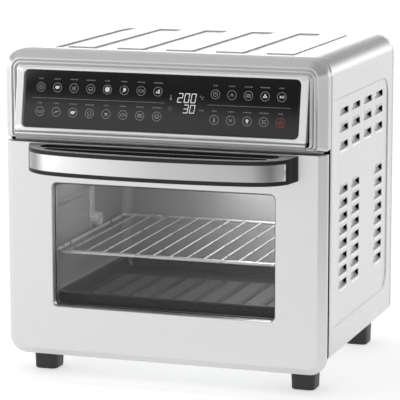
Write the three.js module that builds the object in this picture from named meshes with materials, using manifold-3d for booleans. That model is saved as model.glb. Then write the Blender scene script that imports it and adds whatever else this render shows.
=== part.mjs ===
// A countertop toaster oven with a drop-down glass door, in millimetres, +Z up.
// The front faces -Y and the width runs along X. Y is measured from the edge where the front
// chamfer meets the side wall, and the last lines move the whole oven so that its box is centred.

import * as THREE from "three";
import { mergeVertices } from "three/addons/utils/BufferGeometryUtils.js";
import Module from "manifold-3d";

const wasm = await Module();
wasm.setup();

// ---- Driving dimensions -------------------------------------------------------------------

const halfWidth = 190;
const topZ = 376.5;
const doorBottomZ = 23.5;
const bodyBottomZ = 37.5;
const backY = 291.3;
const chamfer = 8.5;
const frontY = -chamfer;
const topCorner = 21.5;
const bottomCorner = 7.5;
const sheet = 1;
const gap = 0.3;

const doorTopZ = 272.5;
const doorInnerY = 6.5;
const doorCorner = 21;
const window = { half: 133, bottom: 82.5, top: 226, corner: 5.5 };

const shellFrontY = 11.3;
const cavity = { half: 149, bottom: 62, top: 262, front: 9.1, back: 261 };
const hinge = { x: 127, y: 11, z: 31, pin: 2, knuckle: 4 };
const bracketWidth = 4.4;
const earWidth = 2.4;

const rackZ = 142;
const trayZ = 80.5;
const fan = { x: 0, y: 137, shaft: 3 };
const spit = { y: 150, z: 157 };
const lamp = { y: 215, z: 200, radius: 16 };
const cordHole = { x: 130, z: 80, radius: 8 };

// ---- Finishes -----------------------------------------------------------------------------

function finish(color, roughness, metalness) {
  return new THREE.MeshStandardMaterial({ color, roughness, metalness });
}

const finishes = {
  brushed: finish(0xd6d7d8, 0.35, 0.9),
  bright: finish(0xe8e9ea, 0.2, 0.95),
  galvanised: finish(0xb4b7b9, 0.45, 0.8),
  dark: finish(0x2c2d2f, 0.5, 0.1),
  black: finish(0x17181a, 0.35, 0.05),
  glass: finish(0x9aa4a6, 0.05, 0.0),
  board: finish(0x1e5a3a, 0.6, 0.0),
  ceramic: finish(0xe9e4d8, 0.6, 0.0),
  element: finish(0x4b4642, 0.55, 0.6),
};

// ---- Solid helpers ------------------------------------------------------------------------

function toSolid(geometry) {
  const bare = geometry.clone();
  bare.deleteAttribute("normal");
  bare.deleteAttribute("uv");
  const merged = mergeVertices(bare, 1e-3);
  return new wasm.Manifold(new wasm.Mesh({
    numProp: 3,
    vertProperties: new Float32Array(merged.attributes.position.array),
    triVerts: new Uint32Array(merged.index.array),
  }));
}

function toGeometry(solid) {
  const mesh = solid.getMesh();
  const geometry = new THREE.BufferGeometry();
  geometry.setAttribute("position", new THREE.BufferAttribute(mesh.vertProperties, 3));
  geometry.setIndex(new THREE.BufferAttribute(mesh.triVerts, 1));
  geometry.computeVertexNormals();
  return geometry;
}

function cut(geometry, ...tools) {
  return toGeometry(tools.reduce((solid, tool) => solid.subtract(toSolid(tool)), toSolid(geometry)));
}

function join(geometry, ...others) {
  return toGeometry(others.reduce((solid, other) => solid.add(toSolid(other)), toSolid(geometry)));
}

// Outline of a rectangle with its own radius at each corner, counterclockwise from bottom left.
function outline(left, bottom, right, top, { bl = 0, br = 0, tr = 0, tl = 0 } = {}, steps = 4) {
  const corners = [
    [left + bl, bottom + bl, bl, Math.PI],
    [right - br, bottom + br, br, 1.5 * Math.PI],
    [right - tr, top - tr, tr, 0],
    [left + tl, top - tl, tl, 0.5 * Math.PI],
  ];
  return corners.flatMap(([u, v, radius, start]) => {
    const count = radius > 0 ? steps : 0;
    return Array.from({ length: count + 1 }, (_, i) => {
      const angle = start + (count ? (i / count) * 0.5 * Math.PI : 0);
      return new THREE.Vector2(u + radius * Math.cos(angle), v + radius * Math.sin(angle));
    });
  });
}

const alongX = (u, v, at) => [at, u, v];
const alongY = (u, v, at) => [u, at, v];
const alongZ = (u, v, at) => [u, v, at];

// Closed skin through outlines with equal point counts, each at its own place along one axis.
function loft(given, place) {
  const clockwise = THREE.ShapeUtils.isClockWise(given[0].points);
  const turned = (points) => (clockwise ? points.toReversed() : points);
  const sections = given.map(({ at, points }) => ({ at, points: turned(points) }));
  const count = sections[0].points.length;
  const positions = sections.flatMap(({ at, points }) => points.flatMap((p) => place(p.x, p.y, at)));
  const faces = [];
  for (let s = 0; s + 1 < sections.length; s += 1) {
    for (let i = 0; i < count; i += 1) {
      const a = s * count + i;
      const b = s * count + ((i + 1) % count);
      faces.push([a, b, b + count], [a, b + count, a + count]);
    }
  }
  const last = (sections.length - 1) * count;
  for (const [a, b, c] of THREE.ShapeUtils.triangulateShape(sections[0].points, [])) {
    faces.push([a, c, b]);
  }
  for (const [a, b, c] of THREE.ShapeUtils.triangulateShape(sections.at(-1).points, [])) {
    faces.push([a + last, b + last, c + last]);
  }
  const corner = (i) => new THREE.Vector3().fromArray(positions, 3 * i);
  const volume = faces.reduce((sum, [a, b, c]) => sum + corner(a).dot(corner(b).cross(corner(c))), 0);
  const geometry = new THREE.BufferGeometry();
  geometry.setAttribute("position", new THREE.Float32BufferAttribute(positions, 3));
  geometry.setIndex(faces.flatMap(([a, b, c]) => (volume > 0 ? [a, b, c] : [a, c, b])));
  geometry.computeVertexNormals();
  return geometry;
}

function prism(points, from, to, place) {
  return loft([{ at: from, points }, { at: to, points }], place);
}

function box(x0, x1, y0, y1, z0, z1) {
  const geometry = new THREE.BoxGeometry(x1 - x0, y1 - y0, z1 - z0);
  return geometry.translate((x0 + x1) / 2, (y0 + y1) / 2, (z0 + z1) / 2);
}

// Round bar between two values along one axis, centred on (u, v) in the other two.
function bar(place, u, v, from, to, radius, sides = 12, endRadius = radius) {
  const ring = (r) => Array.from({ length: sides }, (_, i) => {
    const angle = (2 * Math.PI * (i + 0.5)) / sides;
    return new THREE.Vector2(u + r * Math.cos(angle), v + r * Math.sin(angle));
  });
  return loft([{ at: from, points: ring(radius) }, { at: to, points: ring(endRadius) }], place);
}

// Route through given points, stepped point by point, so a wire has one ring at each of them.
class Route extends THREE.Curve {
  constructor(points) {
    super();
    this.points = points.map((p) => new THREE.Vector3(...p));
  }

  getPoint(t) {
    const place = t * (this.points.length - 1);
    const i = Math.min(Math.floor(place), this.points.length - 2);
    return this.points[i].clone().lerp(this.points[i + 1], place - i);
  }

  getPointAt(t) {
    return this.getPoint(t);
  }

  getTangentAt(t) {
    const i = Math.round(t * (this.points.length - 1));
    const before = this.points[Math.max(i - 1, 0)];
    const here = this.points[i];
    const after = this.points[Math.min(i + 1, this.points.length - 1)];
    const arrive = here.clone().sub(before).normalize();
    const leave = after.clone().sub(here).normalize();
    return arrive.add(leave).normalize();
  }
}

function wire(points, radius, sides = 6) {
  const section = new THREE.Shape(Array.from({ length: sides }, (_, i) => {
    const angle = (2 * Math.PI * (i + 0.5)) / sides;
    return new THREE.Vector2(radius * Math.cos(angle), radius * Math.sin(angle));
  }));
  const route = new Route(points);
  return new THREE.ExtrudeGeometry(section, { steps: points.length - 1, extrudePath: route });
}

// Points of a level route with its inner corners rounded: each corner becomes three points.
function rounded(points, radius) {
  return points.flatMap((point, i) => {
    if (i === 0 || i === points.length - 1) return [point];
    const here = new THREE.Vector3(...point);
    const back = new THREE.Vector3(...points[i - 1]).sub(here).normalize().multiplyScalar(radius);
    const on = new THREE.Vector3(...points[i + 1]).sub(here).normalize().multiplyScalar(radius);
    const middle = back.clone().add(on).multiplyScalar(0.3);
    return [back, middle, on].map((step) => step.add(here).toArray());
  });
}

const oven = new THREE.Group();

function add(name, geometry, material, parent = oven) {
  const mesh = new THREE.Mesh(geometry, material);
  mesh.name = name;
  parent.add(mesh);
  return mesh;
}

const sides = [["left", -1], ["right", 1]];

// ---- Housing ------------------------------------------------------------------------------

function bodyOutline(inset, steps = 4) {
  const top = topCorner - inset;
  const low = bottomCorner - inset;
  return outline(
    -halfWidth + inset, bodyBottomZ + inset, halfWidth - inset, topZ - inset,
    { bl: low, br: low, tr: top, tl: top }, steps,
  );
}

// Slots of both side walls: three full rows over the electronics, then eight rows in three columns.
function louvreTools() {
  const columnY = [72, 124.3, 176.6, 229];
  const topRows = [288.5, 269.4, 250.3].map((z) => z + doorBottomZ);
  const lowRows = Array.from({ length: 8 }, (_, i) => 199.3 + doorBottomZ - 15.3 * i);
  const slots = [];
  const length = 31;
  const height = 6.5;
  columnY.forEach((y, column) => {
    const rows = column === 2 ? topRows : [...topRows, ...lowRows];
    for (const z of rows) {
      const front = y - length / 2;
      const low = z - height / 2;
      slots.push(box(-halfWidth - 2, halfWidth + 2, front, front + length, low, low + height));
    }
  });
  return slots;
}

const shellLip = 20;

function outerShell() {
  const wrap = prism(bodyOutline(0), shellFrontY, backY - 1.6, alongY);
  const hollow = prism(bodyOutline(sheet), shellFrontY - 1, backY, alongY);
  const openHalf = halfWidth - shellLip;
  const openBottom = box(-openHalf, openHalf, 0, backY + 1, bodyBottomZ - 1, bodyBottomZ + 2);
  return cut(wrap, hollow, openBottom, ...louvreTools());
}

function backPanel() {
  const plate = prism(bodyOutline(0), backY - 1.3, backY, alongY);
  const vents = [];
  for (let row = 0; row < 4; row += 1) {
    const z = 300 + 12 * row;
    vents.push(box(-60, 60, backY - 3, backY + 1, z, z + 5));
  }
  const cord = bar(alongY, cordHole.x, cordHole.z, backY - 3, backY + 1, cordHole.radius + gap, 12);
  return cut(plate, cord, ...vents);
}

function frontFrame() {
  const half = 183;
  const bottom = 42;
  const plate = box(-half, half, 7.6, 8.8, bottom, 275);
  const { half: c, bottom: low, top } = cavity;
  const mouth = box(-c, c, 6, 10, low, top);
  const armSlots = sides.map(([, side]) => {
    const x = 170 * side;
    return box(x - 2, x + 2, 6, 10, 86, 104);
  });
  return cut(plate, mouth, ...armSlots);
}

function cavityLiner() {
  const { half, bottom, top, front, back } = cavity;
  const outer = box(-half - sheet, half + sheet, front, back + sheet, bottom - sheet, top + sheet);
  const inner = box(-half, half, front - 1, back, bottom, top);
  const heaterHoles = [[58, 232], [216, 232], [70, 72], [200, 72]].map(
    ([y, z]) => bar(alongX, y, z, half - 1, half + 3, 5, 8),
  );
  const spitHole = bar(alongX, spit.y, spit.z, half - 1, half + 3, 8, 10);
  const lampHole = bar(alongX, lamp.y, lamp.z, half - 1, half + 3, lamp.radius, 12);
  const shaftHole = bar(alongZ, fan.x, fan.y, top - 1, top + 3, 6, 10);
  const probeHole = bar(alongY, -60, 215, back - 1, back + 3, 2.6, 8);
  return cut(outer, inner, ...heaterHoles, spitHole, lampHole, shaftHole, probeHole);
}

// Pressed guide plate on a side wall of the cavity: ledges for the tray, the rack and a high shelf.
function runner(side) {
  const wall = cavity.half - gap;
  const span = (near, far) => (side > 0 ? [near, far] : [-far, -near]);
  const ledge = (depth, y0, y1, z) => box(...span(wall - depth, wall - 0.5), y0, y1, z - 1, z);
  const plate = box(...span(wall - sheet, wall), 14, 250, 84, 196);
  const ledges = [ledge(12.5, 14, 250, 92.2), ledge(12.5, 14, 250, 139.6), ledge(8, 22, 112, 191)];
  const solid = join(plate, ...ledges);
  if (side < 0) return solid;
  const spitHole = box(wall - 3, wall + 1, spit.y - 12, spit.y + 12, spit.z - 12, spit.z + 12);
  const lampHole = box(wall - 3, wall + 1, lamp.y - 18, lamp.y + 18, lamp.z - 18, lamp.z);
  return cut(solid, spitHole, lampHole);
}

// Tapered foot, cut back over the shell's lip so that its top meets the bottom plate.
function foot(x, y) {
  const topHalf = 15;
  const bottomHalf = 12.6;
  const radius = 6;
  const height = bodyBottomZ + sheet;
  const ring = (half) => outline(
    x - half, y - half, x + half, y + half, { bl: radius, br: radius, tr: radius, tl: radius }, 3,
  );
  const pad = loft([{ at: 0, points: ring(bottomHalf) }, { at: height, points: ring(topHalf) }], alongZ);
  const lipEdge = halfWidth - shellLip - 2 * gap;
  const span = x > 0 ? [lipEdge, halfWidth] : [-halfWidth, -lipEdge];
  const lipClearance = box(...span, y - 20, y + 20, bodyBottomZ - gap, height + 1);
  return cut(pad, lipClearance);
}

add("outer_shell", outerShell(), finishes.brushed);
add("back_panel", backPanel(), finishes.galvanised);
const floorZ = bodyBottomZ + sheet + gap;
add("bottom_plate", box(-183, 183, 15, backY - 1.9, floorZ, floorZ + 1.2), finishes.galvanised);
add("front_frame", frontFrame(), finishes.galvanised);
add("cavity_liner", cavityLiner(), finishes.bright);
for (const [name, side] of sides) {
  add(`${name}_runner`, runner(side), finishes.bright);
  add(`foot_front_${name}`, foot(156.3 * side, 35.2), finishes.black);
  add(`foot_rear_${name}`, foot(156.3 * side, 265), finishes.black);
  const spacer = bar(alongY, 120 * side, 300, backY + gap, backY + 8, 9, 12, 7.5);
  add(`rear_spacer_${name}`, spacer, finishes.black);
}
for (const [name, side] of sides) {
  for (const [level, z] of [["upper", 345], ["lower", 60]]) {
    const screw = bar(alongY, 165 * side, z, backY + gap, backY + 2.2, 4, 8, 3);
    add(`case_screw_${level}_${name}`, screw, finishes.galvanised);
  }
}

// ---- Control section ----------------------------------------------------------------------

// Bezel: a chamfered cap round the control unit, hollow from behind.
function bezel() {
  const bottom = 275.5;
  const ring = (inset, low = inset) => outline(
    -halfWidth + inset, bottom + low, halfWidth - inset, topZ - inset,
    { bl: 3, br: 3, tr: topCorner - inset, tl: topCorner - inset }, 4,
  );
  const outer = loft([
    { at: frontY, points: ring(chamfer, 1) },
    { at: 0, points: ring(0) },
    { at: shellFrontY - gap, points: ring(0) },
  ], alongY);
  const hollow = loft([
    { at: frontY + 2, points: ring(chamfer + 0.6, 3) },
    { at: 0.5, points: ring(2) },
    { at: shellFrontY + 1, points: ring(2) },
  ], alongY);
  const mouth = prism(
    outline(-173.5, 280, 173.5, 361, { bl: 4, br: 4, tr: 3, tl: 3 }, 3), frontY - 1, 4, alongY,
  );
  return cut(outer, hollow, mouth);
}

// The control unit leans: its face is a slope from (topY, topZ) down to (lowY, lowZ).
const face = { topY: -10.8, topZ: 358.6, lowY: -23.6, lowZ: 287.6 };
const faceTilt = Math.atan2(face.topY - face.lowY, face.topZ - face.lowZ);
const faceLength = Math.hypot(face.topY - face.lowY, face.topZ - face.lowZ);

// Everything in this group is drawn with the face upright at y = 0 and its middle at z = 0.
const controls = new THREE.Group();
controls.rotation.x = -faceTilt;
controls.position.set(0, (face.topY + face.lowY) / 2, (face.topZ + face.lowZ) / 2);

const glassHalf = 162.5;
const glassHeight = 65;

function controlHousing() {
  const half = 171.5;
  const top = faceLength / 2;
  const low = -top;
  const profile = [
    new THREE.Vector2(0, top), new THREE.Vector2(0, low), new THREE.Vector2(2.5, low - 2),
    new THREE.Vector2(20, low - 1), new THREE.Vector2(20, top - 1),
  ];
  const inner = [
    new THREE.Vector2(5.6, top - 2.5), new THREE.Vector2(5.6, low + 1),
    new THREE.Vector2(22, low + 1.5), new THREE.Vector2(22, top - 3.5),
  ];
  const body = prism(profile, -half, half, alongX);
  const hollow = prism(inner, -half + 2.5, half - 2.5, alongX);
  const corner = { bl: 6, br: 6, tr: 6, tl: 6 };
  const fit = glassHeight / 2 + gap;
  const pocket = prism(outline(-glassHalf - gap, -fit, glassHalf + gap, fit, corner, 3), -1, 3.4, alongY);
  const through = box(-155, 155, 2, 8, -27, 27);
  return cut(body, hollow, pocket, through);
}

function controlBoard() {
  const plate = box(-150, 150, 5.9, 7.5, -25, 25);
  const chips = [[-100, 8], [-20, 6], [90, 10]].map(
    ([x, size]) => box(x - size, x + size, 7, 10, -size * 0.6, size * 0.6),
  );
  return join(plate, ...chips);
}

const glassCorner = { bl: 6, br: 6, tr: 6, tl: 6 };
const glassOutline = outline(-glassHalf, -glassHeight / 2, glassHalf, glassHeight / 2, glassCorner, 3);
add("bezel", bezel(), finishes.brushed);
add("control_housing", controlHousing(), finishes.bright, controls);
add("control_glass", prism(glassOutline, 0, 3, alongY), finishes.black, controls);
add("display_module", box(16, 60, 3.4, 5.5, -14, 18), finishes.dark, controls);
add("control_board", controlBoard(), finishes.board, controls);
oven.add(controls);

// ---- Electrical and hot parts -------------------------------------------------------------

const elementEndX = 168;
const upperRoute = [
  [elementEndX, 58, 232], [-125, 58, 232], [-125, 104, 232], [118, 104, 232],
  [118, 170, 232], [-125, 170, 232], [-125, 216, 232], [elementEndX, 216, 232],
];
const lowerRoute = [[elementEndX, 70, 72], [-125, 70, 72], [-125, 200, 72], [elementEndX, 200, 72]];
add("upper_element", wire(rounded(upperRoute, 16), 3.25), finishes.element);
add("lower_element", wire(rounded(lowerRoute, 16), 3.25), finishes.element);

function bushing(y, z) {
  const outside = cavity.half + sheet + gap;
  const collar = bar(alongX, y, z, outside, outside + 6, 9, 10);
  return cut(collar, bar(alongX, y, z, outside - 1, outside + 8, 3.25 + gap, 8));
}

const bushings = [
  ["upper_front", 58, 232], ["upper_rear", 216, 232], ["lower_front", 70, 72], ["lower_rear", 200, 72],
];
for (const [name, y, z] of bushings) {
  add(`bushing_${name}`, bushing(y, z), finishes.ceramic);
}

const ceiling = cavity.top + sheet;

function motorBracket() {
  const plate = box(-36, 36, fan.y - 20, fan.y + 20, 274, 276);
  const legs = [-36, 34].map((x) => box(x, x + 2, fan.y - 20, fan.y + 20, ceiling + gap, 275));
  return cut(join(plate, ...legs), bar(alongZ, fan.x, fan.y, 273, 277, 8, 10));
}

function fanWheel(z0, z1, hub, radius, blades, width) {
  const core = bar(alongZ, fan.x, fan.y, z0, z1, hub, 12);
  const vanes = Array.from({ length: blades }, (_, i) => {
    const vane = box(hub - 2, radius, -width / 2, width / 2, z0, z1 - 2);
    return vane.rotateZ((2 * Math.PI * i) / blades).translate(fan.x, fan.y, 0);
  });
  const floor = bar(alongZ, fan.x, fan.y, z1 - 2, z1 - 1, radius, 20);
  return cut(join(core, floor, ...vanes), bar(alongZ, fan.x, fan.y, z0 - 1, z1 + 1, fan.shaft + gap, 12));
}

const motorBore = bar(alongZ, fan.x, fan.y, 270, 330, fan.shaft + gap, 12);
const motorBody = bar(alongZ, fan.x, fan.y, 276.3, 314, 29, 16);
add("fan_motor", cut(motorBody, motorBore), finishes.galvanised);
add("motor_bracket", motorBracket(), finishes.galvanised);
add("fan_shaft", bar(alongZ, fan.x, fan.y, 238.5, 334, fan.shaft, 12), finishes.bright);
add("fan_blade", fanWheel(241, 254, 9, 66, 8, 1.2), finishes.galvanised);
add("cooling_fan", fanWheel(319, 331, 8, 46, 6, 1.2), finishes.galvanised);

// Guard under the fan: a dished plate with radial slots, hung from the ceiling by four legs.
function fanGuard() {
  const plate = bar(alongZ, fan.x, fan.y, 237, 238, 84, 24);
  const legs = [0, 1, 2, 3].map((i) => {
    const leg = box(78, 81, -5, 5, 237.5, cavity.top - gap);
    return leg.rotateZ(Math.PI * (0.25 + 0.5 * i)).translate(fan.x, fan.y, 0);
  });
  const slots = Array.from({ length: 12 }, (_, i) => {
    const slot = box(22, 66, -4, 4, 235, 240);
    return slot.rotateZ((2 * Math.PI * i) / 12).translate(fan.x, fan.y, 0);
  });
  const eye = bar(alongZ, fan.x, fan.y, 235, 240, 8, 10);
  return cut(join(plate, ...legs), eye, ...slots);
}

add("fan_guard", fanGuard(), finishes.bright);

function powerBoard() {
  const plate = box(-176, -66, 50, 190, 290, 291.6);
  const relays = [75, 105].map((y) => box(-168, -150, y, y + 22, 291, 308));
  const transformer = box(-130, -96, 140, 176, 291, 318);
  const posts = [[-170, 58], [-72, 58], [-170, 182], [-72, 182]].map(
    ([x, y]) => box(x - 3, x + 3, y - 3, y + 3, 291, 294),
  );
  return join(plate, ...relays, transformer, ...posts);
}

add("power_board", powerBoard(), finishes.board);
add("temperature_probe", bar(alongY, -60, 215, 236, 276, 2.2, 8), finishes.bright);
add("terminal_block", box(60, 96, 200, 228, ceiling + gap, 284), finishes.ceramic);

function cordGland() {
  const { x, z, radius } = cordHole;
  const flange = bar(alongY, x, z, backY + gap, backY + 2, 12, 12);
  const nose = bar(alongY, x, z, backY + 1, backY + 7.8, 9, 12, 7);
  const neck = bar(alongY, x, z, backY - 9, backY + 1, radius, 12);
  return cut(join(flange, nose, neck), bar(alongY, x, z, backY - 12, backY + 9, 4, 10));
}

add("cord_gland", cordGland(), finishes.black);

// Lamp in the right wall: a lens inside the cavity, the bulb and its housing behind it.
const lampWall = cavity.half + sheet;
const lensDome = bar(alongX, lamp.y, lamp.z, 142.5, cavity.half - gap, 10, 12, 17);
const housingCup = bar(alongX, lamp.y, lamp.z, lampWall + gap, 181, 20, 14, 17);
const housingHollow = bar(alongX, lamp.y, lamp.z, lampWall - 1, 178, 17.5, 14, 15);
add("lamp_lens", lensDome, finishes.glass);
add("lamp_housing", cut(housingCup, housingHollow), finishes.galvanised);
add("lamp_bulb", bar(alongX, lamp.y, lamp.z, 154, 177, 5, 10, 7), finishes.glass);

// Spit drive: a plain rest on the left wall and a driven socket with its motor on the right.
function spitRest() {
  const x = -cavity.half + gap + sheet + gap;
  const plate = box(x, x + 1.6, spit.y - 7, spit.y + 7, 146.5, 196);
  const cup = bar(alongX, spit.y, spit.z, x + 1, x + 12, 8.5, 12);
  const seat = bar(alongX, spit.y, spit.z, x + 4, x + 14, 5.5, 10);
  const slot = box(x + 4, x + 14, spit.y - 4, spit.y + 4, spit.z, spit.z + 12);
  return join(plate, cut(cup, seat, slot));
}

function spitSocket() {
  const cup = bar(alongX, spit.y, spit.z, 135, 146.5, 8.5, 12);
  const stub = bar(alongX, spit.y, spit.z, 146, 172, 4, 10);
  const square = box(134, 143, spit.y - 4.2, spit.y + 4.2, spit.z - 4.2, spit.z + 4.2);
  return cut(join(cup, stub), square);
}

const spitBore = bar(alongX, spit.y, spit.z, 148, 174, 4 + gap, 12);
const spitCase = box(lampWall + gap, 176, spit.y - 22, spit.y + 22, spit.z - 22, spit.z + 22);
add("spit_rest", spitRest(), finishes.bright);
add("spit_socket", spitSocket(), finishes.bright);
add("spit_motor", cut(spitCase, spitBore), finishes.dark);

// ---- Rack and trays -----------------------------------------------------------------------

function wireRack() {
  const half = 140;
  const frontEdge = 17;
  const backEdge = 242;
  const rise = 3.5;
  const lift = backEdge - 14;
  const halfFrame = (side) => wire([
    [-side, frontEdge, rackZ],
    ...rounded([
      [0, frontEdge, rackZ], [side * half, frontEdge, rackZ], [side * half, lift, rackZ],
      [side * half, backEdge, rackZ + rise], [0, backEdge, rackZ + rise],
    ], 6),
    [-side, backEdge, rackZ + rise],
  ], 2);
  const crossBar = wire([[-half, lift, rackZ], [half, lift, rackZ]], 1.6, 6);
  const rods = Array.from({ length: 13 }, (_, i) => {
    const x = -123 + 20.5 * i;
    return wire([[x, frontEdge - 0.5, rackZ + 0.4], [x, lift + 1, rackZ + 0.4]], 1.25, 4);
  });
  return join(halfFrame(1), halfFrame(-1), crossBar, ...rods);
}

function openPan(halfX, y0, y1, z0, z1, wall, rimX) {
  const draft = 3;
  const ring = (inset) => outline(
    -halfX + inset, y0 + inset, halfX - inset, y1 - inset, { bl: 8, br: 8, tr: 8, tl: 8 }, 2,
  );
  const outer = loft([{ at: z0, points: ring(draft) }, { at: z1, points: ring(0) }], alongZ);
  const hollow = [{ at: z0 + wall, points: ring(draft + wall) }, { at: z1 + 1, points: ring(wall) }];
  const inner = loft(hollow, alongZ);
  const rimOutline = outline(-rimX, y0 - 2, rimX, y1 + 2, { bl: 9, br: 9, tr: 9, tl: 9 }, 2);
  const rim = prism(rimOutline, z1 - wall, z1, alongZ);
  return cut(join(outer, rim), inner);
}

add("wire_rack", wireRack(), finishes.bright);
add("baking_tray", openPan(134.5, 21, 245, trayZ, 93.6, sheet, 141.5), finishes.dark);

function crumbTray() {
  const half = 146;
  const floor = cavity.bottom + 0.4;
  const outer = box(-half, half, 13, 256, floor, floor + 5);
  const inner = box(-half + sheet, half - sheet, 14, 255, floor + sheet, floor + 6);
  const lip = box(-half, half, 12, 13.2, floor, floor + 11);
  return join(cut(outer, inner), lip);
}

add("crumb_tray", crumbTray(), finishes.bright);

// ---- Door ---------------------------------------------------------------------------------

function doorFrame() {
  const ring = (inset, top) => outline(
    -halfWidth + inset, doorBottomZ + inset, halfWidth - inset, top,
    { bl: doorCorner - inset, br: doorCorner - inset, tr: 2, tl: 2 }, 4,
  );
  const outer = loft([
    { at: frontY, points: ring(chamfer, doorTopZ - 1) },
    { at: 0, points: ring(0, doorTopZ) },
    { at: doorInnerY - 1.6, points: ring(0, doorTopZ) },
  ], alongY);
  const hollow = loft([
    { at: frontY + 1.2, points: ring(chamfer + 0.5, doorTopZ - 2.2) },
    { at: 0.5, points: ring(1.2, doorTopZ - 1.2) },
    { at: doorInnerY, points: ring(1.2, doorTopZ - 1.2) },
  ], alongY);
  return cut(outer, hollow, windowHole(0, frontY - 1, doorInnerY));
}

function windowHole(grow, from, to) {
  const { half, bottom, top, corner } = window;
  const radius = corner + grow;
  const hole = outline(
    -half - grow, bottom - grow, half + grow, top + grow,
    { bl: radius, br: radius, tr: radius, tl: radius }, 3,
  );
  return prism(hole, from, to, alongY);
}

// Back plate of the door with the window in it and two pierced ears round each hinge bracket.
function doorLiner() {
  const edge = 0.6;
  const plateOutline = outline(
    -halfWidth + edge, doorBottomZ + edge, halfWidth - edge, doorTopZ - edge,
    { bl: 20, br: 20, tr: 2, tl: 2 }, 4,
  );
  const plate = prism(plateOutline, doorInnerY - 1.3, doorInnerY, alongY);
  const { knuckle } = hinge;
  const earOffset = bracketWidth / 2 + 0.6 + earWidth / 2;
  const earProfile = outline(
    doorInnerY - 0.5, hinge.z - knuckle, hinge.y + knuckle, hinge.z + knuckle, { br: 3.5, tr: 3.5 }, 3,
  );
  const ears = [-1, 1].flatMap((side) => [-earOffset, earOffset].map((offset) => {
    const middle = hinge.x * side + offset;
    return prism(earProfile, middle - earWidth / 2, middle + earWidth / 2, alongX);
  }));
  const bores = [-1, 1].map((side) => {
    const middle = hinge.x * side;
    return bar(alongX, hinge.y, hinge.z, middle - 8, middle + 8, hinge.pin + gap, 10);
  });
  return cut(join(plate, ...ears), windowHole(-1, doorInnerY - 3, doorInnerY + 2), ...bores);
}

function hingeBracket(side) {
  const { y, z, knuckle } = hinge;
  const eye = bar(alongX, y, z, -bracketWidth / 2, bracketWidth / 2, knuckle, 12);
  const plateTop = bodyBottomZ + sheet;
  const arm = prism([
    new THREE.Vector2(y, z - knuckle + 0.2), new THREE.Vector2(40, plateTop - 3),
    new THREE.Vector2(40, plateTop), new THREE.Vector2(17, plateTop), new THREE.Vector2(y - 2, z + 3),
  ], -bracketWidth / 2, bracketWidth / 2, alongX);
  const bore = bar(alongX, y, z, -bracketWidth, bracketWidth, hinge.pin + gap, 10);
  return cut(join(eye, arm), bore).translate(hinge.x * side, 0, 0);
}

function hingePin(side) {
  const middle = hinge.x * side;
  return bar(alongX, hinge.y, hinge.z, middle - 6, middle + 6, hinge.pin, 10);
}

// Quarter strap round the hinge axis. It runs through a slot in the front frame and stops the door.
function doorArm(side) {
  const inner = 62;
  const outer = 68;
  const start = 0.5 * Math.PI - 0.02;
  const end = 0.16;
  const steps = 8;
  const at = (radius, i) => {
    const angle = start + ((end - start) * i) / steps;
    return new THREE.Vector2(hinge.y + radius * Math.cos(angle), hinge.z + radius * Math.sin(angle));
  };
  const indices = Array.from({ length: steps + 1 }, (_, i) => i);
  const profile = [
    new THREE.Vector2(doorInnerY + gap, hinge.z + outer), ...indices.map((i) => at(outer, i)),
    ...indices.toReversed().map((i) => at(inner, i)), new THREE.Vector2(doorInnerY + gap, hinge.z + inner),
  ];
  const x = 170 * side;
  return prism(profile, x - 1, x + 1, alongX);
}

const glassPane = window.half + 6;
add("door_frame", doorFrame(), finishes.brushed);
add("door_liner", doorLiner(), finishes.galvanised);
add("window_glass", box(
  -glassPane, glassPane, frontY + 1.5, frontY + 5.5, window.bottom - 6, window.top + 6,
), finishes.glass);

for (const [name, side] of sides) {
  add(`hinge_bracket_${name}`, hingeBracket(side), finishes.galvanised);
  add(`hinge_pin_${name}`, hingePin(side), finishes.bright);
  add(`door_arm_${name}`, doorArm(side), finishes.galvanised);
}

// ---- Handle -------------------------------------------------------------------------------

const handle = { half: 153, bowY: -51, sag: 10.5, endTurn: 11.5, bottom: 239.5, top: 267.5, lean: 3.4 };

// Front line of the grip: a shallow bow that turns in quickly at both ends.
function bow(x) {
  const share = Math.abs(x) / handle.half;
  return handle.bowY + handle.sag * share ** 2 + handle.endTurn * share ** 12;
}

// Points along the bow between two ends. All of them share the same inner stations.
function bowPoints(half, offset) {
  const count = 22;
  const turns = Array.from({ length: count - 1 }, (_, i) => (Math.PI * (i + 1)) / count);
  const inner = turns.map((turn) => -handle.half * Math.cos(turn)).filter((x) => Math.abs(x) < half - 1);
  return [-half, ...inner, half].map((x) => new THREE.Vector2(x, bow(x) + offset));
}

// The grip leans: its back edge is higher than its front by the lean.
function leaned(geometry) {
  const position = geometry.attributes.position;
  const reach = frontY - handle.bowY;
  for (let i = 0; i < position.count; i += 1) {
    const share = (position.getY(i) - handle.bowY) / reach;
    position.setZ(i, position.getZ(i) + handle.lean * share);
  }
  return geometry;
}

function handleGrip() {
  const rootHalf = 159;
  const { bottom, top, half } = handle;
  const root = frontY - gap;
  const rootLine = [new THREE.Vector2(rootHalf, root), new THREE.Vector2(-rootHalf, root)];
  const plan = [...bowPoints(half, 0), ...rootLine];
  const body = prism(plan, bottom, top, alongZ);
  const slotHalf = 138;
  const rearSlot = box(-slotHalf, slotHalf, -26, -14.5, bottom - 5, top + 5);
  const frontHalf = slotHalf - 6;
  const ribY = -30.5;
  const frontPlan = [
    ...bowPoints(frontHalf, 7.5), new THREE.Vector2(frontHalf, ribY), new THREE.Vector2(-frontHalf, ribY),
  ];
  const frontSlot = prism(frontPlan, bottom - 5, top + 5, alongZ);
  const seatHalf = half - 1.6;
  const clearOfGrip = -70;
  const seatPlan = [
    ...bowPoints(seatHalf, 1.5),
    new THREE.Vector2(seatHalf, clearOfGrip), new THREE.Vector2(-seatHalf, clearOfGrip),
  ];
  const seat = prism(seatPlan, bottom + 2.9, top - 0.8, alongZ);
  return leaned(cut(body, rearSlot, frontSlot, seat));
}

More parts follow.
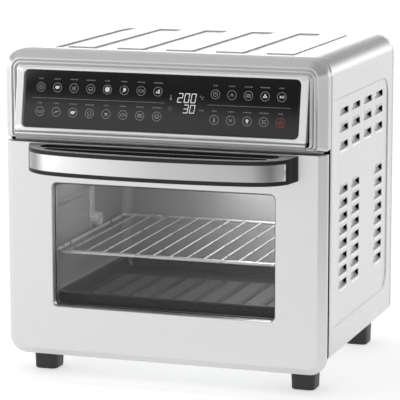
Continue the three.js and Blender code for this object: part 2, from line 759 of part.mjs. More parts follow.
function handlePlate() {
  const half = handle.half - 2;
  const plan = [...bowPoints(half, 0.1), ...bowPoints(half, 1.2).reverse()];
  return leaned(prism(plan, handle.bottom + 3.3, handle.top - 1.2, alongZ));
}

add("handle_grip", handleGrip(), finishes.black);
add("handle_plate", handlePlate(), finishes.brushed);
for (const [name, side] of sides) {
  const screw = bar(alongY, 148 * side, 255, frontY + 1.5, doorInnerY - 1.6, 4, 8);
  add(`handle_screw_${name}`, screw, finishes.galvanised);
}

// ---- Placement ----------------------------------------------------------------------------

const bounds = new THREE.Box3().setFromObject(oven);
oven.position.y = -(bounds.min.y + bounds.max.y) / 2;

const model = new THREE.Group();
model.add(oven);
model.updateMatrixWorld(true);

export default model;
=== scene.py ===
"""Looks of the toaster oven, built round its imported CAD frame.

Shapes are drawn in millimetres: X is the width, Z the height, and Y runs back from the edge where
the front chamfer meets the side wall. new_piece() turns them into metres in the row frame.
"""

import math

import bmesh
import bpy
from mathutils import Matrix, Vector


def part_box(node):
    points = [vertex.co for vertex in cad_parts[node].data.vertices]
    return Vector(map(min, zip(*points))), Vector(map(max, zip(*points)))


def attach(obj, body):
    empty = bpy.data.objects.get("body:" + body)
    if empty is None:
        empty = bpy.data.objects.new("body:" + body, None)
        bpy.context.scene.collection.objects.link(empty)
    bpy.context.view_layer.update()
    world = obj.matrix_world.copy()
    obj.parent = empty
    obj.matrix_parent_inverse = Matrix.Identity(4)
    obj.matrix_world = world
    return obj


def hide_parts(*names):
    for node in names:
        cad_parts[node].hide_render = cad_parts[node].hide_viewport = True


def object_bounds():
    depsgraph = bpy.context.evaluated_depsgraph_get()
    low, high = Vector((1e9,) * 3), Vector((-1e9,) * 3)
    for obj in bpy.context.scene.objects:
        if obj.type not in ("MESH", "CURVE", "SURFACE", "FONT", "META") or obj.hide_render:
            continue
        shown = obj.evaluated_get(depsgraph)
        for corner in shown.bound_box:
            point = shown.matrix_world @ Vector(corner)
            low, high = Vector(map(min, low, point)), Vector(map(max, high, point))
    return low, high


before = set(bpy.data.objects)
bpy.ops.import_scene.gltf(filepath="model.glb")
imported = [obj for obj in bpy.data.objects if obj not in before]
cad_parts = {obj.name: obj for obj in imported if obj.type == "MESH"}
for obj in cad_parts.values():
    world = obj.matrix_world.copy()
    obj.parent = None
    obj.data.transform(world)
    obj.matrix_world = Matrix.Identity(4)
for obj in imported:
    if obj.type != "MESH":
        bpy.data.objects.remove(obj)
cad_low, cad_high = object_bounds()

MM = 0.001

# ---- Driving dimensions, in millimetres -------------------------------------------------------

CHAMFER = 8.5
HALF = cad_high.x / MM
TOP = cad_high.z / MM
DOOR_LOW = Vector(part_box("door_frame")[0]) / MM
DOOR_HIGH = Vector(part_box("door_frame")[1]) / MM
LINE = DOOR_LOW.y + CHAMFER
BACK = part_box("back_panel")[1][1] / MM - LINE
SHELL_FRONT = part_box("outer_shell")[0][1] / MM - LINE
BODY_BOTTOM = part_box("outer_shell")[0][2] / MM
TOP_CORNER = 21.5
LOW_CORNER = 7.5
WINDOW = {"half": 133.4, "bottom": 82.2, "top": 227.2, "corner": 6.5, "reveal": 2.1}
FACE = {"top_y": -10.8, "top_z": 358.6, "low_y": -23.6, "low_z": 287.6, "half": 171.5}
GLASS = {"half": 162.5, "height": 65.0, "corner": 6.0}
HANDLE = {"half": 153.0, "root_half": 159.0, "bow": -51.0, "sag": 10.5, "turn": 14.5,
          "low": 239.5, "high": 267.5, "lean": 3.4}
CAVITY = {"half": 148.9, "low": 62.1, "high": 261.9, "front": 9.1, "back": 260.9, "corner": 16.0}


# ---- Materials ----------------------------------------------------------------------------------

GRAIN_RANGE = (0.3, 0.7)
ACROSS = (6.0, 300.0, 300.0)
ALONG = (300.0, 6.0, 300.0)
FINE = 1e-4
BRUSHED = {"metallic": 1.0, "scale": 6.0, "depth": 5e-5}


def grey(value):
    return (value, value, value)


def map_range(tree, value, low, high, result_low, result_high):
    """Adds a node that maps a value from one range to another, and gives its output."""
    node = tree.nodes.new("ShaderNodeMapRange")
    ends = {"From Min": low, "From Max": high, "To Min": result_low, "To Max": result_high}
    for socket, number in ends.items():
        node.inputs[socket].default_value = number
    tree.links.new(value, node.inputs["Value"])
    return node.outputs["Result"]


def surface(name, colour, roughness, metallic=0.0, tint=0.06, spread=0.08,
            scale=60.0, stretch=(1.0, 1.0, 1.0), bump=0.1, depth=0.0002, shaded=0.0, **sockets):
    """A principled surface whose colour, roughness and bump follow one stretched noise.

    A shaded surface also darkens its colour where a mesh attribute asks for painted shade: along the shell's
    pressed lines, and as painted shade and reflection along the handle plate.
    """
    material = bpy.data.materials.new(name)
    material.use_nodes = True
    nodes = material.node_tree.nodes
    links = material.node_tree.links
    shader = nodes["Principled BSDF"]
    place = nodes.new("ShaderNodeTexCoord")
    mapping = nodes.new("ShaderNodeMapping")
    mapping.inputs["Scale"].default_value = stretch
    grain = nodes.new("ShaderNodeTexNoise")
    grain.inputs["Scale"].default_value = scale
    grain.inputs["Detail"].default_value = 4.0
    links.new(place.outputs["Object"], mapping.inputs["Vector"])
    links.new(mapping.outputs["Vector"], grain.inputs["Vector"])

    ramp = nodes.new("ShaderNodeValToRGB")
    ramp.color_ramp.elements[0].position = GRAIN_RANGE[0]
    ramp.color_ramp.elements[1].position = GRAIN_RANGE[1]
    ramp.color_ramp.elements[0].color = (*[c * (1.0 - tint) for c in colour], 1.0)
    ramp.color_ramp.elements[1].color = (*[min(c * (1.0 + tint), 1.0) for c in colour], 1.0)
    links.new(grain.outputs["Fac"], ramp.inputs["Fac"])
    colour_out = ramp.outputs["Color"]
    if shaded:
        # Painted shade: a mesh attribute darkens the base colour by up to the shaded share.
        painted_shade = nodes.new("ShaderNodeAttribute")
        painted_shade.attribute_name = "painted_shade"
        darken = nodes.new("ShaderNodeMix")
        darken.data_type = "RGBA"
        darken.blend_type = "MULTIPLY"
        darken.inputs["B"].default_value = (1.0 - shaded, 1.0 - shaded, 1.0 - shaded, 1.0)
        links.new(painted_shade.outputs["Fac"], darken.inputs["Factor"])
        links.new(colour_out, darken.inputs["A"])
        colour_out = darken.outputs["Result"]
    links.new(colour_out, shader.inputs["Base Color"])

    smoothest = max(roughness - spread, 0.02)
    roughest = min(roughness + spread, 1.0)
    rough = map_range(material.node_tree, grain.outputs["Fac"], *GRAIN_RANGE, smoothest, roughest)
    links.new(rough, shader.inputs["Roughness"])

    relief = nodes.new("ShaderNodeBump")
    relief.inputs["Strength"].default_value = bump
    relief.inputs["Distance"].default_value = depth
    links.new(grain.outputs["Fac"], relief.inputs["Height"])
    links.new(relief.outputs["Normal"], shader.inputs["Normal"])

    shader.inputs["Metallic"].default_value = metallic
    for socket, value in sockets.items():
        shader.inputs[socket.replace("_", " ").title().replace("Ior", "IOR")].default_value = value
    return material


brushed = surface(
    "brushed_steel_front", (0.7, 0.7, 0.705), 0.36, **BRUSHED, tint=0.03,
    spread=0.05, stretch=ACROSS, bump=0.06,
)
# The wrap's colour is darkened along its pressed lines: painted shade.
brushed_wrap = surface(
    "brushed_steel_wrap", (0.67, 0.67, 0.675), 0.26, **BRUSHED, tint=0.025,
    spread=0.05, stretch=ALONG, bump=0.05, shaded=0.45,
)
# The plate's colour darkens where its mesh attribute paints shade and reflection along it.
satin = surface(
    "satin_steel_plate", (0.74, 0.74, 0.745), 0.2, **BRUSHED, tint=0.03,
    spread=0.04, stretch=ACROSS, bump=0.05, shaded=0.75,
)
bright = surface(
    "bright_silver_trim", grey(0.96), 0.35, metallic=0.35, tint=0.01,
    spread=0.03, scale=40.0, bump=0.02,
)
rear_wall = surface(
    "cavity_rear_wall", grey(0.62), 0.4, metallic=0.3, tint=0.05,
    spread=0.06, scale=30.0, bump=0.04,
)
# A darker copy of the bright trim: painted shade on the ends of the control surround and on the sill beneath
# it.
trim_painted_shade = surface(
    "trim_painted_shade", (0.36, 0.36, 0.365), 0.35, metallic=0.6, tint=0.02, spread=0.03, scale=40.0, bump=0.02,
)
chrome = surface(
    "chromed_wire", grey(0.95), 0.3, metallic=0.4, tint=0.04, spread=0.05, scale=50.0, bump=0.03,
)
aluminised = surface(
    "aluminised_sheet", grey(0.58), 0.4, metallic=0.4, tint=0.04,
    spread=0.05, scale=12.0, bump=0.02,
)
zinc = surface(
    "galvanised_sheet", (0.6, 0.61, 0.62), 0.45, metallic=0.9, tint=0.16, spread=0.12, scale=90.0,
)
panel_glass = surface(
    "black_printed_glass", grey(0.006), 0.12, tint=0.05, spread=0.03, scale=30.0, bump=0.01,
)
plastic = surface(
    "black_moulded_plastic", (0.012, 0.012, 0.013), 0.14, tint=0.2, spread=0.03,
    scale=900.0, bump=0.03, depth=FINE, specular_ior_level=0.3,
)
# A lighter grey on the black grip's top faces: painted light where the top catches the light.
grip_painted_light = surface("grip_top_painted_light", grey(0.62), 0.3, spread=0.05, scale=300.0, bump=0.03)
rubber = surface(
    "black_foot_plastic", (0.02, 0.02, 0.022), 0.5, tint=0.15, spread=0.06,
    scale=900.0, bump=0.2, depth=FINE,
)
enamel = surface("dark_enamel", (0.03, 0.03, 0.031), 0.35, tint=0.2, spread=0.05, bump=0.04)
grey_floor_enamel = surface(
    "grey_floor_enamel", (0.16, 0.16, 0.162), 0.4, metallic=0.2, tint=0.15, spread=0.1, scale=120.0,
)
oxide = surface(
    "oxidised_sheath", (0.16, 0.145, 0.135), 0.5, metallic=0.7, tint=0.25,
    spread=0.1, scale=200.0, bump=0.2,
)
ceramic = surface("unglazed_ceramic", (0.8, 0.77, 0.7), 0.7, scale=300.0, bump=0.2)
laminate = surface("board_laminate", (0.03, 0.16, 0.08), 0.45, tint=0.15, spread=0.1, scale=250.0)
smoked = surface("display_window", (0.05, 0.05, 0.055), 0.25, tint=0.1, spread=0.05, bump=0.02)
# A darker grey than the shell's steel for the louvre scoops: painted shade.
shadowed = surface(
    "louvre_painted_shade", grey(0.5), 0.55, metallic=0.3, tint=0.08, spread=0.05, scale=100.0, bump=0.05,
)
# Near-black for places that only lie in shade: painted shadow on the shell's inner side, on the sheets
# behind the louvres and on the walls of the grip's slots.
painted_shadow = surface("painted_shadow_black", grey(0.006), 0.8, tint=0.2, spread=0.1, scale=100.0, bump=0.05)
window_pane = surface(
    "window_pane", grey(0.12), 0.04, tint=0.02, spread=0.01, scale=10.0, bump=0.0, alpha=0.14,
)
lens_glass = surface("lens_glass", (0.75, 0.77, 0.77), 0.1, tint=0.03, spread=0.03, scale=80.0, alpha=0.5)


def printed(name, value, tint=(1.0, 1.0, 1.0), glow=0.0):
    """Ink on the control glass, lit from behind where it glows."""
    ink = surface(name, [value * t for t in tint], 0.4, 0.0, 0.08, 0.05, 300.0, bump=0.02)
    shader = ink.node_tree.nodes["Principled BSDF"]
    shader.inputs["Emission Color"].default_value = (*tint, 1.0)
    shader.inputs["Emission Strength"].default_value = glow
    return ink


pale_ink = printed("pale_ink", 0.32, glow=0.06)
bright_ink = printed("bright_ink", 0.5, glow=0.22)
dim_ink = printed("dim_ink", 0.20, glow=0.02)
red_ink = printed("red_ink", 0.35, (1.0, 0.12, 0.1), glow=0.10)
digit_ink = printed("digit_ink", 0.7, glow=0.32)


# ---- Mesh helpers -------------------------------------------------------------------------------

TO_ROW = Matrix.Scale(MM, 4) @ Matrix.Translation((0.0, LINE, 0.0))


def new_object(name, form, material, place):
    """Turns a bmesh into an object with one material."""
    mesh = bpy.data.meshes.new(name)
    form.to_mesh(mesh)
    form.free()
    mesh.transform(place)
    mesh.materials.append(material)
    made = bpy.data.objects.new(name, mesh)
    bpy.context.scene.collection.objects.link(made)
    return made


def new_piece(name, form, material, body="housing", place=None, angle=35.0, bevel=0.0):
    """Turns a bmesh in oven millimetres into a smooth piece that rides on a body."""
    bmesh.ops.recalc_face_normals(form, faces=form.faces)
    piece = new_object(name, form, material, TO_ROW @ place if place else TO_ROW)
    piece.data.shade_smooth()
    piece.data.set_sharp_from_angle(angle=math.radians(angle))
    if bevel:
        edge = piece.modifiers.new("edge", "BEVEL")
        edge.width = bevel * MM
        edge.segments = 2
        edge.limit_method = "ANGLE"
        edge.angle_limit = math.radians(40.0)
        edge.harden_normals = True
    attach(piece, body)
    return piece


def add_thickness(piece, thickness, inner=None, offset=-1.0):
    """Thickens a sheet, inwards unless the offset is 1, with an optional material on its inner side."""
    solid = piece.modifiers.new("thickness", "SOLIDIFY")
    solid.thickness = thickness * MM
    solid.offset = offset
    if inner:
        piece.data.materials.append(inner)
        solid.material_offset = 1
        solid.material_offset_rim = 0


def outline(left, low, right, high, bl=0.0, br=0.0, tr=0.0, tl=0.0, steps=8):
    """Corners of a rounded rectangle, counterclockwise from bottom left, always with equal counts."""
    corners = [
        (left + bl, low + bl, bl, 180.0), (right - br, low + br, br, 270.0),
        (right - tr, high - tr, tr, 0.0), (left + tl, high - tl, tl, 90.0),
    ]
    points = []
    for u, v, radius, start in corners:
        for i in range(steps + 1):
            turn = math.radians(start + 90.0 * i / steps)
            reach = max(radius, 0.01)
            points.append((u + reach * math.cos(turn), v + reach * math.sin(turn)))
    return points


def rounded(left, low, right, high, radius, steps=8):
    return outline(left, low, right, high, radius, radius, radius, radius, steps)


def upright(points, y):
    return [(u, y, v) for u, v in points]


def flat(points, z):
    return [(u, v, z) for u, v in points]


def skin(form, rings, first=True, last=True, closed=True):
    """Faces between neighbouring rings of equal length, with caps on the first and last ring."""
    loops = [[form.verts.new(p) for p in ring] for ring in rings]
    count = len(loops[0])
    for near, far in zip(loops, loops[1:]):
        for i in range(count if closed else count - 1):
            j = (i + 1) % count
            form.faces.new((near[i], near[j], far[j], far[i]))
    if first:
        form.faces.new(loops[0])
    if last:
        form.faces.new(list(reversed(loops[-1])))
    return loops


def block(form, x0, x1, y0, y1, z0, z1):
    skin(form, [flat(outline(x0, y0, x1, y1, steps=1), z) for z in (z0, z1)])


def tube(form, points, radius, sides=10, closed=False):
    """A round wire along a polyline, turned without twist."""
    path = [Vector(p) for p in points]
    count = len(path)
    rings = []
    side = None
    for i, here in enumerate(path):
        before = path[i - 1] if i or closed else here
        after = path[(i + 1) % count] if i + 1 < count or closed else here
        along = (after - before).normalized()
        if side is None:
            side = along.orthogonal().normalized()
        side = (side - along * side.dot(along)).normalized()
        up = along.cross(side)
        turns = [2.0 * math.pi * k / sides for k in range(sides)]
        rings.append([here + radius * (math.cos(t) * side + math.sin(t) * up) for t in turns])
    if closed:
        rings.append(rings[0])
    skin(form, rings, not closed, not closed)
    if closed:
        bmesh.ops.remove_doubles(form, verts=form.verts, dist=0.001)


def rounded_route(points, radius, steps=6):
    """A polyline whose inner corners are arcs of about this radius."""
    path = [Vector(p) for p in points]
    route = [path[0]]
    for before, here, after in zip(path, path[1:], path[2:]):
        start = here + (before - here).normalized() * radius
        end = here + (after - here).normalized() * radius
        for i in range(steps + 1):
            t = i / steps
            route.append(start * (1 - t) ** 2 + here * 2 * t * (1 - t) + end * t ** 2)
    return [*route, path[-1]]


def graded(start, end, coarse, fine, zones):
    """Values from start to end: finely spaced inside the zones and coarsely outside."""
    values = [start]
    while values[-1] < end - 0.01:
        here = values[-1]
        if any(low - 0.01 <= here < high for low, high in zones):
            step = fine
        else:
            ahead = [low - here for low, high in zones if low > here + 0.01]
            step = min([coarse, *ahead])
        values.append(min(here + step, end))
    return values


def with_edges(values, edges, closest=0.5):
    """The values with these edges put in, and what lies too close to an edge taken out."""
    kept = [v for v in values if all(abs(v - e) > closest for e in edges)]
    return sorted([*kept, *edges])


def smooth_step(value, low, high):
    t = min(max((value - low) / (high - low), 0.0), 1.0)
    return t * t * (3.0 - 2.0 * t)


def rounded_distance(u, v, left, low, right, high, radius):
    """Distance from a rounded rectangle's edge, negative inside."""
    du = abs(u - (left + right) / 2.0) - (right - left) / 2.0 + radius
    dv = abs(v - (low + high) / 2.0) - (high - low) / 2.0 + radius
    return math.hypot(max(du, 0.0), max(dv, 0.0)) + min(max(du, dv), 0.0) - radius


# ---- Outer shell: pressed panels and louvres ------------------------------------------------------

# WALL is how wide a pressed line is, and FADE where the fields begin to sink in behind the front edge.
WALL = 1.3
TOP_FIELD = {"half": 142.0, "back": 267.0, "radius": 17.0, "depth": 1.2}
PADS = [-99.6 + 59.4 * i for i in range(5)]
PAD_WIDTH = 31.5
PAD_FRONT = 44.0
SIDE_FIELD = {"low": 71.4, "high": 329.0, "back": 267.0, "radius": 22.0, "depth": 1.1}
FADE = (20.0, 46.0)
SLOT_Y = [72.0 + 52.3 * i for i in range(4)]
SLOT_UPPER = [DOOR_LOW.z + v for v in (288.5, 269.4, 250.3)]
SLOT_LOWER = [DOOR_LOW.z + 199.3 - 15.3 * i for i in range(8)]
SLOT_LENGTH = 31.0
SLOT_HEIGHT = 7.4
SLOT_DEPTH = 4.6
RELIEF = 2.6
# A near-black sheet inside each side behind the louvres: painted shadow.
SHADOW_SHEET = {"x": HALF - 5.8, "wall": 0.5, "front": 45.0, "back": 262.0, "low": 66.0, "high": 338.0}


def pressed(distance, depth, y):
    """Depth below the sheet and the share of painted shade along its pressed line, for a distance that is
    negative inside.
    """
    fade = smooth_step(y, *FADE)
    rises = smooth_step(-distance, -0.5, WALL * 0.3)
    falls = 1.0 - smooth_step(-distance, WALL * 0.7, WALL + 0.5)
    return depth * smooth_step(-distance, 0.0, WALL) * fade, rises * falls * fade


def top_depth(x, y):
    """How far the top is pressed in: one wide field with five raised pads that run into its back rim."""
    field = TOP_FIELD
    inside = rounded_distance(x, y, -field["half"], -80.0, field["half"], field["back"], field["radius"])
    pads = min(
        rounded_distance(x, y, right - PAD_WIDTH, PAD_FRONT, right, 400.0, 3.0) for right in PADS
    )
    distance = max(inside, -pads)
    return pressed(distance, field["depth"], y)


def side_depth(y, z):
    field = SIDE_FIELD
    inside = rounded_distance(y, z, -80.0, field["low"], field["back"], field["high"], field["radius"])
    return pressed(inside, field["depth"], y)


def slot_places():
    for column, y in enumerate(SLOT_Y):
        for z in SLOT_UPPER + ([] if column == 2 else SLOT_LOWER):
            yield y, z


def in_slot(y, z):
    for centre_y, centre_z in slot_places():
        front = centre_y - SLOT_LENGTH / 2.0
        low = centre_z - SLOT_HEIGHT / 2.0
        if front < y < front + SLOT_LENGTH and low < z < low + SLOT_HEIGHT:
            return True
        if front - RELIEF < y <= front and low < z < low + RELIEF:
            return True
    return False


def wrap_points():
    """Points round the shell's section with their inward direction and the wall they are on."""
    high_centre = TOP - TOP_CORNER
    low_centre = BODY_BOTTOM + LOW_CORNER
    slot_edges = []
    for z in SLOT_UPPER + SLOT_LOWER:
        low = z - SLOT_HEIGHT / 2.0
        slot_edges += [low, low + RELIEF, low + SLOT_HEIGHT]
    zones = [
        (SIDE_FIELD["low"] - 1, SIDE_FIELD["low"] + 25),
        (SIDE_FIELD["high"] - 25, SIDE_FIELD["high"] + 1),
    ]
    heights = with_edges(graded(low_centre, high_centre, 8.0, 1.0, zones), sorted(set(slot_edges)))
    walls = [x for right in PADS for x in (right - PAD_WIDTH, right)]
    edge = TOP_FIELD["half"]
    zones = sorted([(x - 3, x + 3) for x in walls] + [(-edge - 1, -edge + 18), (edge - 18, edge + 1)])
    reach = HALF - TOP_CORNER
    widths = graded(-reach, reach, 8.0, 0.7, zones)
    corner = [math.radians(7.5 * i) for i in range(1, 12)]

    left = [(-HALF + x, BODY_BOTTOM, 0, 1, "lip") for x in (20.0, LOW_CORNER)]
    for turn in corner:
        s, c = math.sin(turn), math.cos(turn)
        left.append((-HALF + LOW_CORNER * (1 - s), low_centre - LOW_CORNER * c, s, c, "corner"))
    left += [(-HALF, z, 1, 0, "side") for z in heights]
    for turn in corner:
        s, c = math.sin(turn), math.cos(turn)
        left.append((-HALF + TOP_CORNER * (1 - c), high_centre + TOP_CORNER * s, c, -s, "corner"))
    middle = [(x, TOP, 0, -1, "top") for x in widths]
    right = [(-x, z, -nx, nz, wall) for x, z, nx, nz, wall in reversed(left)]
    return left + middle + right


def make_outer_shell():
    """The wrapped sheet with its pressed fields, left open at every louvre."""
    slot_ends = (-SLOT_LENGTH / 2 - RELIEF, -SLOT_LENGTH / 2, SLOT_LENGTH / 2)
    slots = sorted({y + end for y in SLOT_Y for end in slot_ends})
    zones = [(PAD_FRONT - 4, PAD_FRONT + 5), (TOP_FIELD["back"] - 22, TOP_FIELD["back"] + 2)]
    depths = with_edges(graded(SHELL_FRONT, BACK - 1.6, 7.0, 0.9, zones), slots)
    form = bmesh.new()
    wrap = wrap_points()
    shade_layer = form.verts.layers.float.new("painted_shade")
    rows = []
    for y in depths:
        row = []
        for x, z, nx, nz, wall in wrap:
            # The second value is painted shade, kept on each vertex to darken the colour along the pressed
            # lines.
            press, painted_shade = 0.0, 0.0
            if wall == "top":
                press, painted_shade = top_depth(x, y)
            elif wall == "side":
                press, painted_shade = side_depth(y, z)
            vert = form.verts.new((x + nx * press, y, z + nz * press))
            vert[shade_layer] = painted_shade
            row.append(vert)
        rows.append(row)
    for near, far, y0, y1 in zip(rows, rows[1:], depths, depths[1:]):
        for i in range(len(wrap) - 1):
            on_side = wrap[i][4] == wrap[i + 1][4] == "side"
            middle_z = (wrap[i][1] + wrap[i + 1][1]) / 2
            if on_side and in_slot((y0 + y1) / 2, middle_z):
                continue
            form.faces.new((near[i], near[i + 1], far[i + 1], far[i]))
    piece = new_piece("shell_wrap", form, brushed_wrap, angle=50.0)
    # The sheet's inner side takes the near-black: painted shadow.
    add_thickness(piece, 0.8, painted_shadow)
    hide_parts("outer_shell")


def make_louvres():
    """A scoop in every opening, in a darker grey as painted shade, and a near-black sheet behind each side
    as painted shadow that keeps light from showing through.
    """
    for name, side in (("left", -1), ("right", 1)):
        shadow_sheet = bmesh.new()
        x0, x1 = sorted((side * SHADOW_SHEET["x"], side * (SHADOW_SHEET["x"] - SHADOW_SHEET["wall"])))
        block(shadow_sheet, x0, x1, SHADOW_SHEET["front"], SHADOW_SHEET["back"], SHADOW_SHEET["low"], SHADOW_SHEET["high"])
        new_piece(f"louvre_shadow_sheet_{name}", shadow_sheet, painted_shadow)

    arches = bmesh.new()
    for side in (-1, 1):
        for y, z in slot_places():
            add_louvre(arches, side, y, z)
    # The scoops take the darker grey: painted shade.
    piece = new_piece("shell_louvres", arches, shadowed, angle=50.0)


def add_louvre(form, side, y, z, steps=8):
    """A scoop that sinks in from its front end and stays open at its rear end, where warm air leaves."""
    rows = []
    for i in range(steps + 1):
        share = i / steps
        height = z - SLOT_HEIGHT / 2 + SLOT_HEIGHT * share
        row = []
        for j in range(7):
            along = j / 6
            back = y - SLOT_LENGTH / 2 + SLOT_LENGTH * along
            arch = math.sin(math.pi * share) ** 0.6
            press = side_depth(back, height)[0] + SLOT_DEPTH * arch * (0.15 + 0.85 * along)
            row.append(form.verts.new((side * (HALF - press), back, height)))
        rows.append(row)
    for low, high in zip(rows, rows[1:]):
        for i in range(6):
            form.faces.new((low[i], low[i + 1], high[i + 1], high[i]))


# ---- Bezel and control section ---------------------------------------------------------------------

def make_bezel():
    """A chamfered frame with two raised lips round the control section."""
    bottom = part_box("bezel")[0][2] / MM
    side_and_chamfer = [
        (3.0, 11.0), (0.0, 11.0), (0.0, 0.4), (0.4, -0.4),
        (0.8, -0.8), (7.6, -7.6), (8.1, -8.1), (8.5, -8.5),
    ]
    first_lip = [(9.5, -8.6), (9.8, -8.3), (10.0, -6.9), (10.3, -6.8), (12.3, -8.5), (12.7, -8.8)]
    second_lip = [(13.6, -8.9), (13.9, -8.6), (14.1, -7.0), (14.4, -6.9), (17.0, -9.0), (18.5, -9.2)]
    profile = [*side_and_chamfer, *first_lip, *second_lip, (18.6, 3.5)]
    form = bmesh.new()
    rings = []
    for inset, y in profile:
        low = bottom + min(inset * 0.24, 4.2)
        corner = max(TOP_CORNER - inset, 4.0)
        base = 3.0 if inset < 5 else 4.0
        points = outline(
            -HALF + inset, low, HALF - inset, TOP - inset, bl=base, br=base, tr=corner, tl=corner, steps=14,
        )
        rings.append(upright(points, y))
    skin(form, rings, False, False)
    piece = new_piece("bezel_cap", form, brushed, angle=28.0)
    add_thickness(piece, 0.7)
    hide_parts("bezel")


FACE_TILT = math.atan2(FACE["top_y"] - FACE["low_y"], FACE["top_z"] - FACE["low_z"])
FACE_LENGTH = math.hypot(FACE["top_y"] - FACE["low_y"], FACE["top_z"] - FACE["low_z"])
ON_FACE = Matrix.Translation(
    (0.0, (FACE["top_y"] + FACE["low_y"]) / 2.0, (FACE["top_z"] + FACE["low_z"]) / 2.0)
) @ Matrix.Rotation(-FACE_TILT, 4, "X")


def make_control_housing():
    """The bright leaning surround with the sill and lip under it, drawn upright with its face at y = 0."""
    half, reach = FACE["half"], FACE_LENGTH / 2.0
    pocket_half, pocket_reach = GLASS["half"] + 0.3, GLASS["height"] / 2.0 + 0.3
    form = bmesh.new()

    def outer(inset, y, low=0.0):
        return upright(rounded(-half + inset, -reach + inset - low, half - inset, reach - inset, 2.5), y)

    def inner(grow, y):
        edge_u, edge_v = pocket_half + grow, pocket_reach + grow
        return upright(rounded(-edge_u, -edge_v, edge_u, edge_v, 6.3), y)

    rings = [
        outer(2.0, 19.5, 1.0), outer(0.6, 2.5, 1.4), outer(0.0, 1.4), outer(0.25, 0.45), outer(1.0, 0.0),
        inner(0.7, 0.0), inner(0.1, 0.5), inner(0.0, 3.2),
    ]
    skin(form, rings)
    form.normal_update()
    # Faces on the surround's side ends take the darker trim: painted shade.
    for face in form.faces:
        faces_side = abs(face.normal.x) > 0.8
        near_end = abs(face.calc_center_median().x) > half - 3.0
        face.material_index = 1 if faces_side and near_end else 0
    piece = new_piece("control_surround", form, bright, place=ON_FACE, angle=28.0)
    piece.data.materials.append(trim_painted_shade)
    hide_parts("control_housing")

    width = half - 1.5
    sill = bmesh.new()
    block(sill, -width, width, 3.2, 9.0, -reach - 7.5, -reach - 1.2)
    # The sill takes the darker trim: painted shade under the surround.
    new_piece("control_sill", sill, trim_painted_shade, place=ON_FACE)
    lip = bmesh.new()
    block(lip, -width, width, 2.0, 8.0, -reach - 4.2, -reach - 2.6)
    new_piece("control_lip", lip, bright, place=ON_FACE, bevel=0.4)


def make_control_glass():
    """The printed glass plate, let into the surround's pocket."""
    half, reach, corner = GLASS["half"], GLASS["height"] / 2.0, GLASS["corner"]
    form = bmesh.new()

    def ring(inset, y):
        edge_u, edge_v = half - inset, reach - inset
        return upright(rounded(-edge_u, -edge_v, edge_u, edge_v, corner - inset), y)

    skin(form, [ring(0.0, 3.0), ring(0.0, 0.7), ring(0.2, 0.45), ring(0.6, 0.35)])
    piece = new_piece("control_glass_plate", form, panel_glass, place=ON_FACE, angle=30.0)
    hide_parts("control_glass")


# ---- Printed marks on the control glass. u runs right and v up from the glass's middle. --------------

PRINT_Y = 0.28
KEY_ROWS = {"left": (13.2, -14.3), "right": (12.8, -15.2)}
LEFT_KEYS = [-141.4 + 20.0 * i for i in range(8)]
RIGHT_KEYS = [65.6 + 19.0 * i for i in range(5)]
RING_RADIUS = 5.0
SYMBOL_SHARE = 0.88
LABEL_RISE = 9.0
LABEL_WIDTHS = [6.0 + 1.7 * step for step in (0, 1, 2, 3)]
DASH = 1.0
RULES = [(-151.4, 7.2), (56.9, 151.8)]
DIGIT_WIDTH = 5.8
DISPLAY = [
    {"digits": "200", "left": 21.4, "low": 2.1, "pitch": 7.7, "tall": 10.5, "lean": 1.6},
    {"digits": "30", "left": 28.4, "low": -9.35, "pitch": 7.6, "tall": 9.45, "lean": 1.5},
]


def stroke(form, points, width, closed=False):
    """A flat line of even width through points on the glass."""
    path = [Vector(p) for p in points]
    count = len(path)
    sides = []
    for i, here in enumerate(path):
        before = path[i - 1] if i or closed else here
        after = path[(i + 1) % count] if i + 1 < count or closed else here
        along = (after - before).normalized()
        across = Vector((-along.y, along.x)) * width / 2.0
        sides.append((here - across, here + across))
    corners = [[form.verts.new((p.x, PRINT_Y, p.y)) for p in pair] for pair in sides]
    for i in range(count if closed else count - 1):
        near, far = corners[i], corners[(i + 1) % count]
        form.faces.new((near[0], far[0], far[1], near[1]))


def arc(u, v, radius, start=0.0, end=360.0, steps=28, tall=1.0):
    turns = [math.radians(start + (end - start) * i / steps) for i in range(steps + 1)]
    return [(u + radius * math.cos(t), v + radius * tall * math.sin(t)) for t in turns]


def disc(form, u, v, radius, steps=14, tall=1.0):
    edge = arc(u, v, radius, 0, 360, steps, tall)[:-1]
    form.faces.new([form.verts.new((p[0], PRINT_Y, p[1])) for p in edge])


def patch(form, u0, u1, v0, v1, lean=0.0):
    corners = [(u0, v0), (u1, v0), (u1 + lean, v1), (u0 + lean, v1)]
    form.faces.new([form.verts.new((u, PRINT_Y, v)) for u, v in corners])


def key_ring(form, u, v):
    stroke(form, arc(u, v, RING_RADIUS, steps=32)[:-1], 0.4, closed=True)


def key_label(form, u, v, width):
    """A row of short dashes where a printed word would be."""
    count = max(int(width / (DASH + 0.35)), 2)
    for i in range(count):
        left = u - width / 2.0 + i * width / count
        length = DASH * (0.75, 0.875, 1.0)[i % 3]
        patch(form, left, left + length, v, v + 1.25)


def draw_toast(form):
    stroke(form, outline(-2.6, -2.2, 2.6, 2.4, 1, 1, 1.6, 1.6, 3), 0.5, closed=True)
    patch(form, -1.4, 1.4, -0.3, 0.3)


def draw_roast(form):
    disc(form, -0.3, 0.1, 2.9, tall=0.72)
    patch(form, 1.8, 3.6, 1.0, 1.7, 0.3)


def draw_slices(form):
    for i in range(3):
        stroke(form, [(-2.8, -1.8 + 1.6 * i), (0.0, -2.4 + 1.6 * i), (2.8, -0.6 + 1.6 * i)], 0.5)


def draw_bun(form):
    stroke(form, arc(0.0, -0.4, 3.2, 0, 180, 10, 0.8), 0.55)
    stroke(form, [(-3.2, -1.0), (3.2, -1.0)], 0.55)
    stroke(form, [(-2.4, -2.2), (2.4, -2.2)], 0.5)


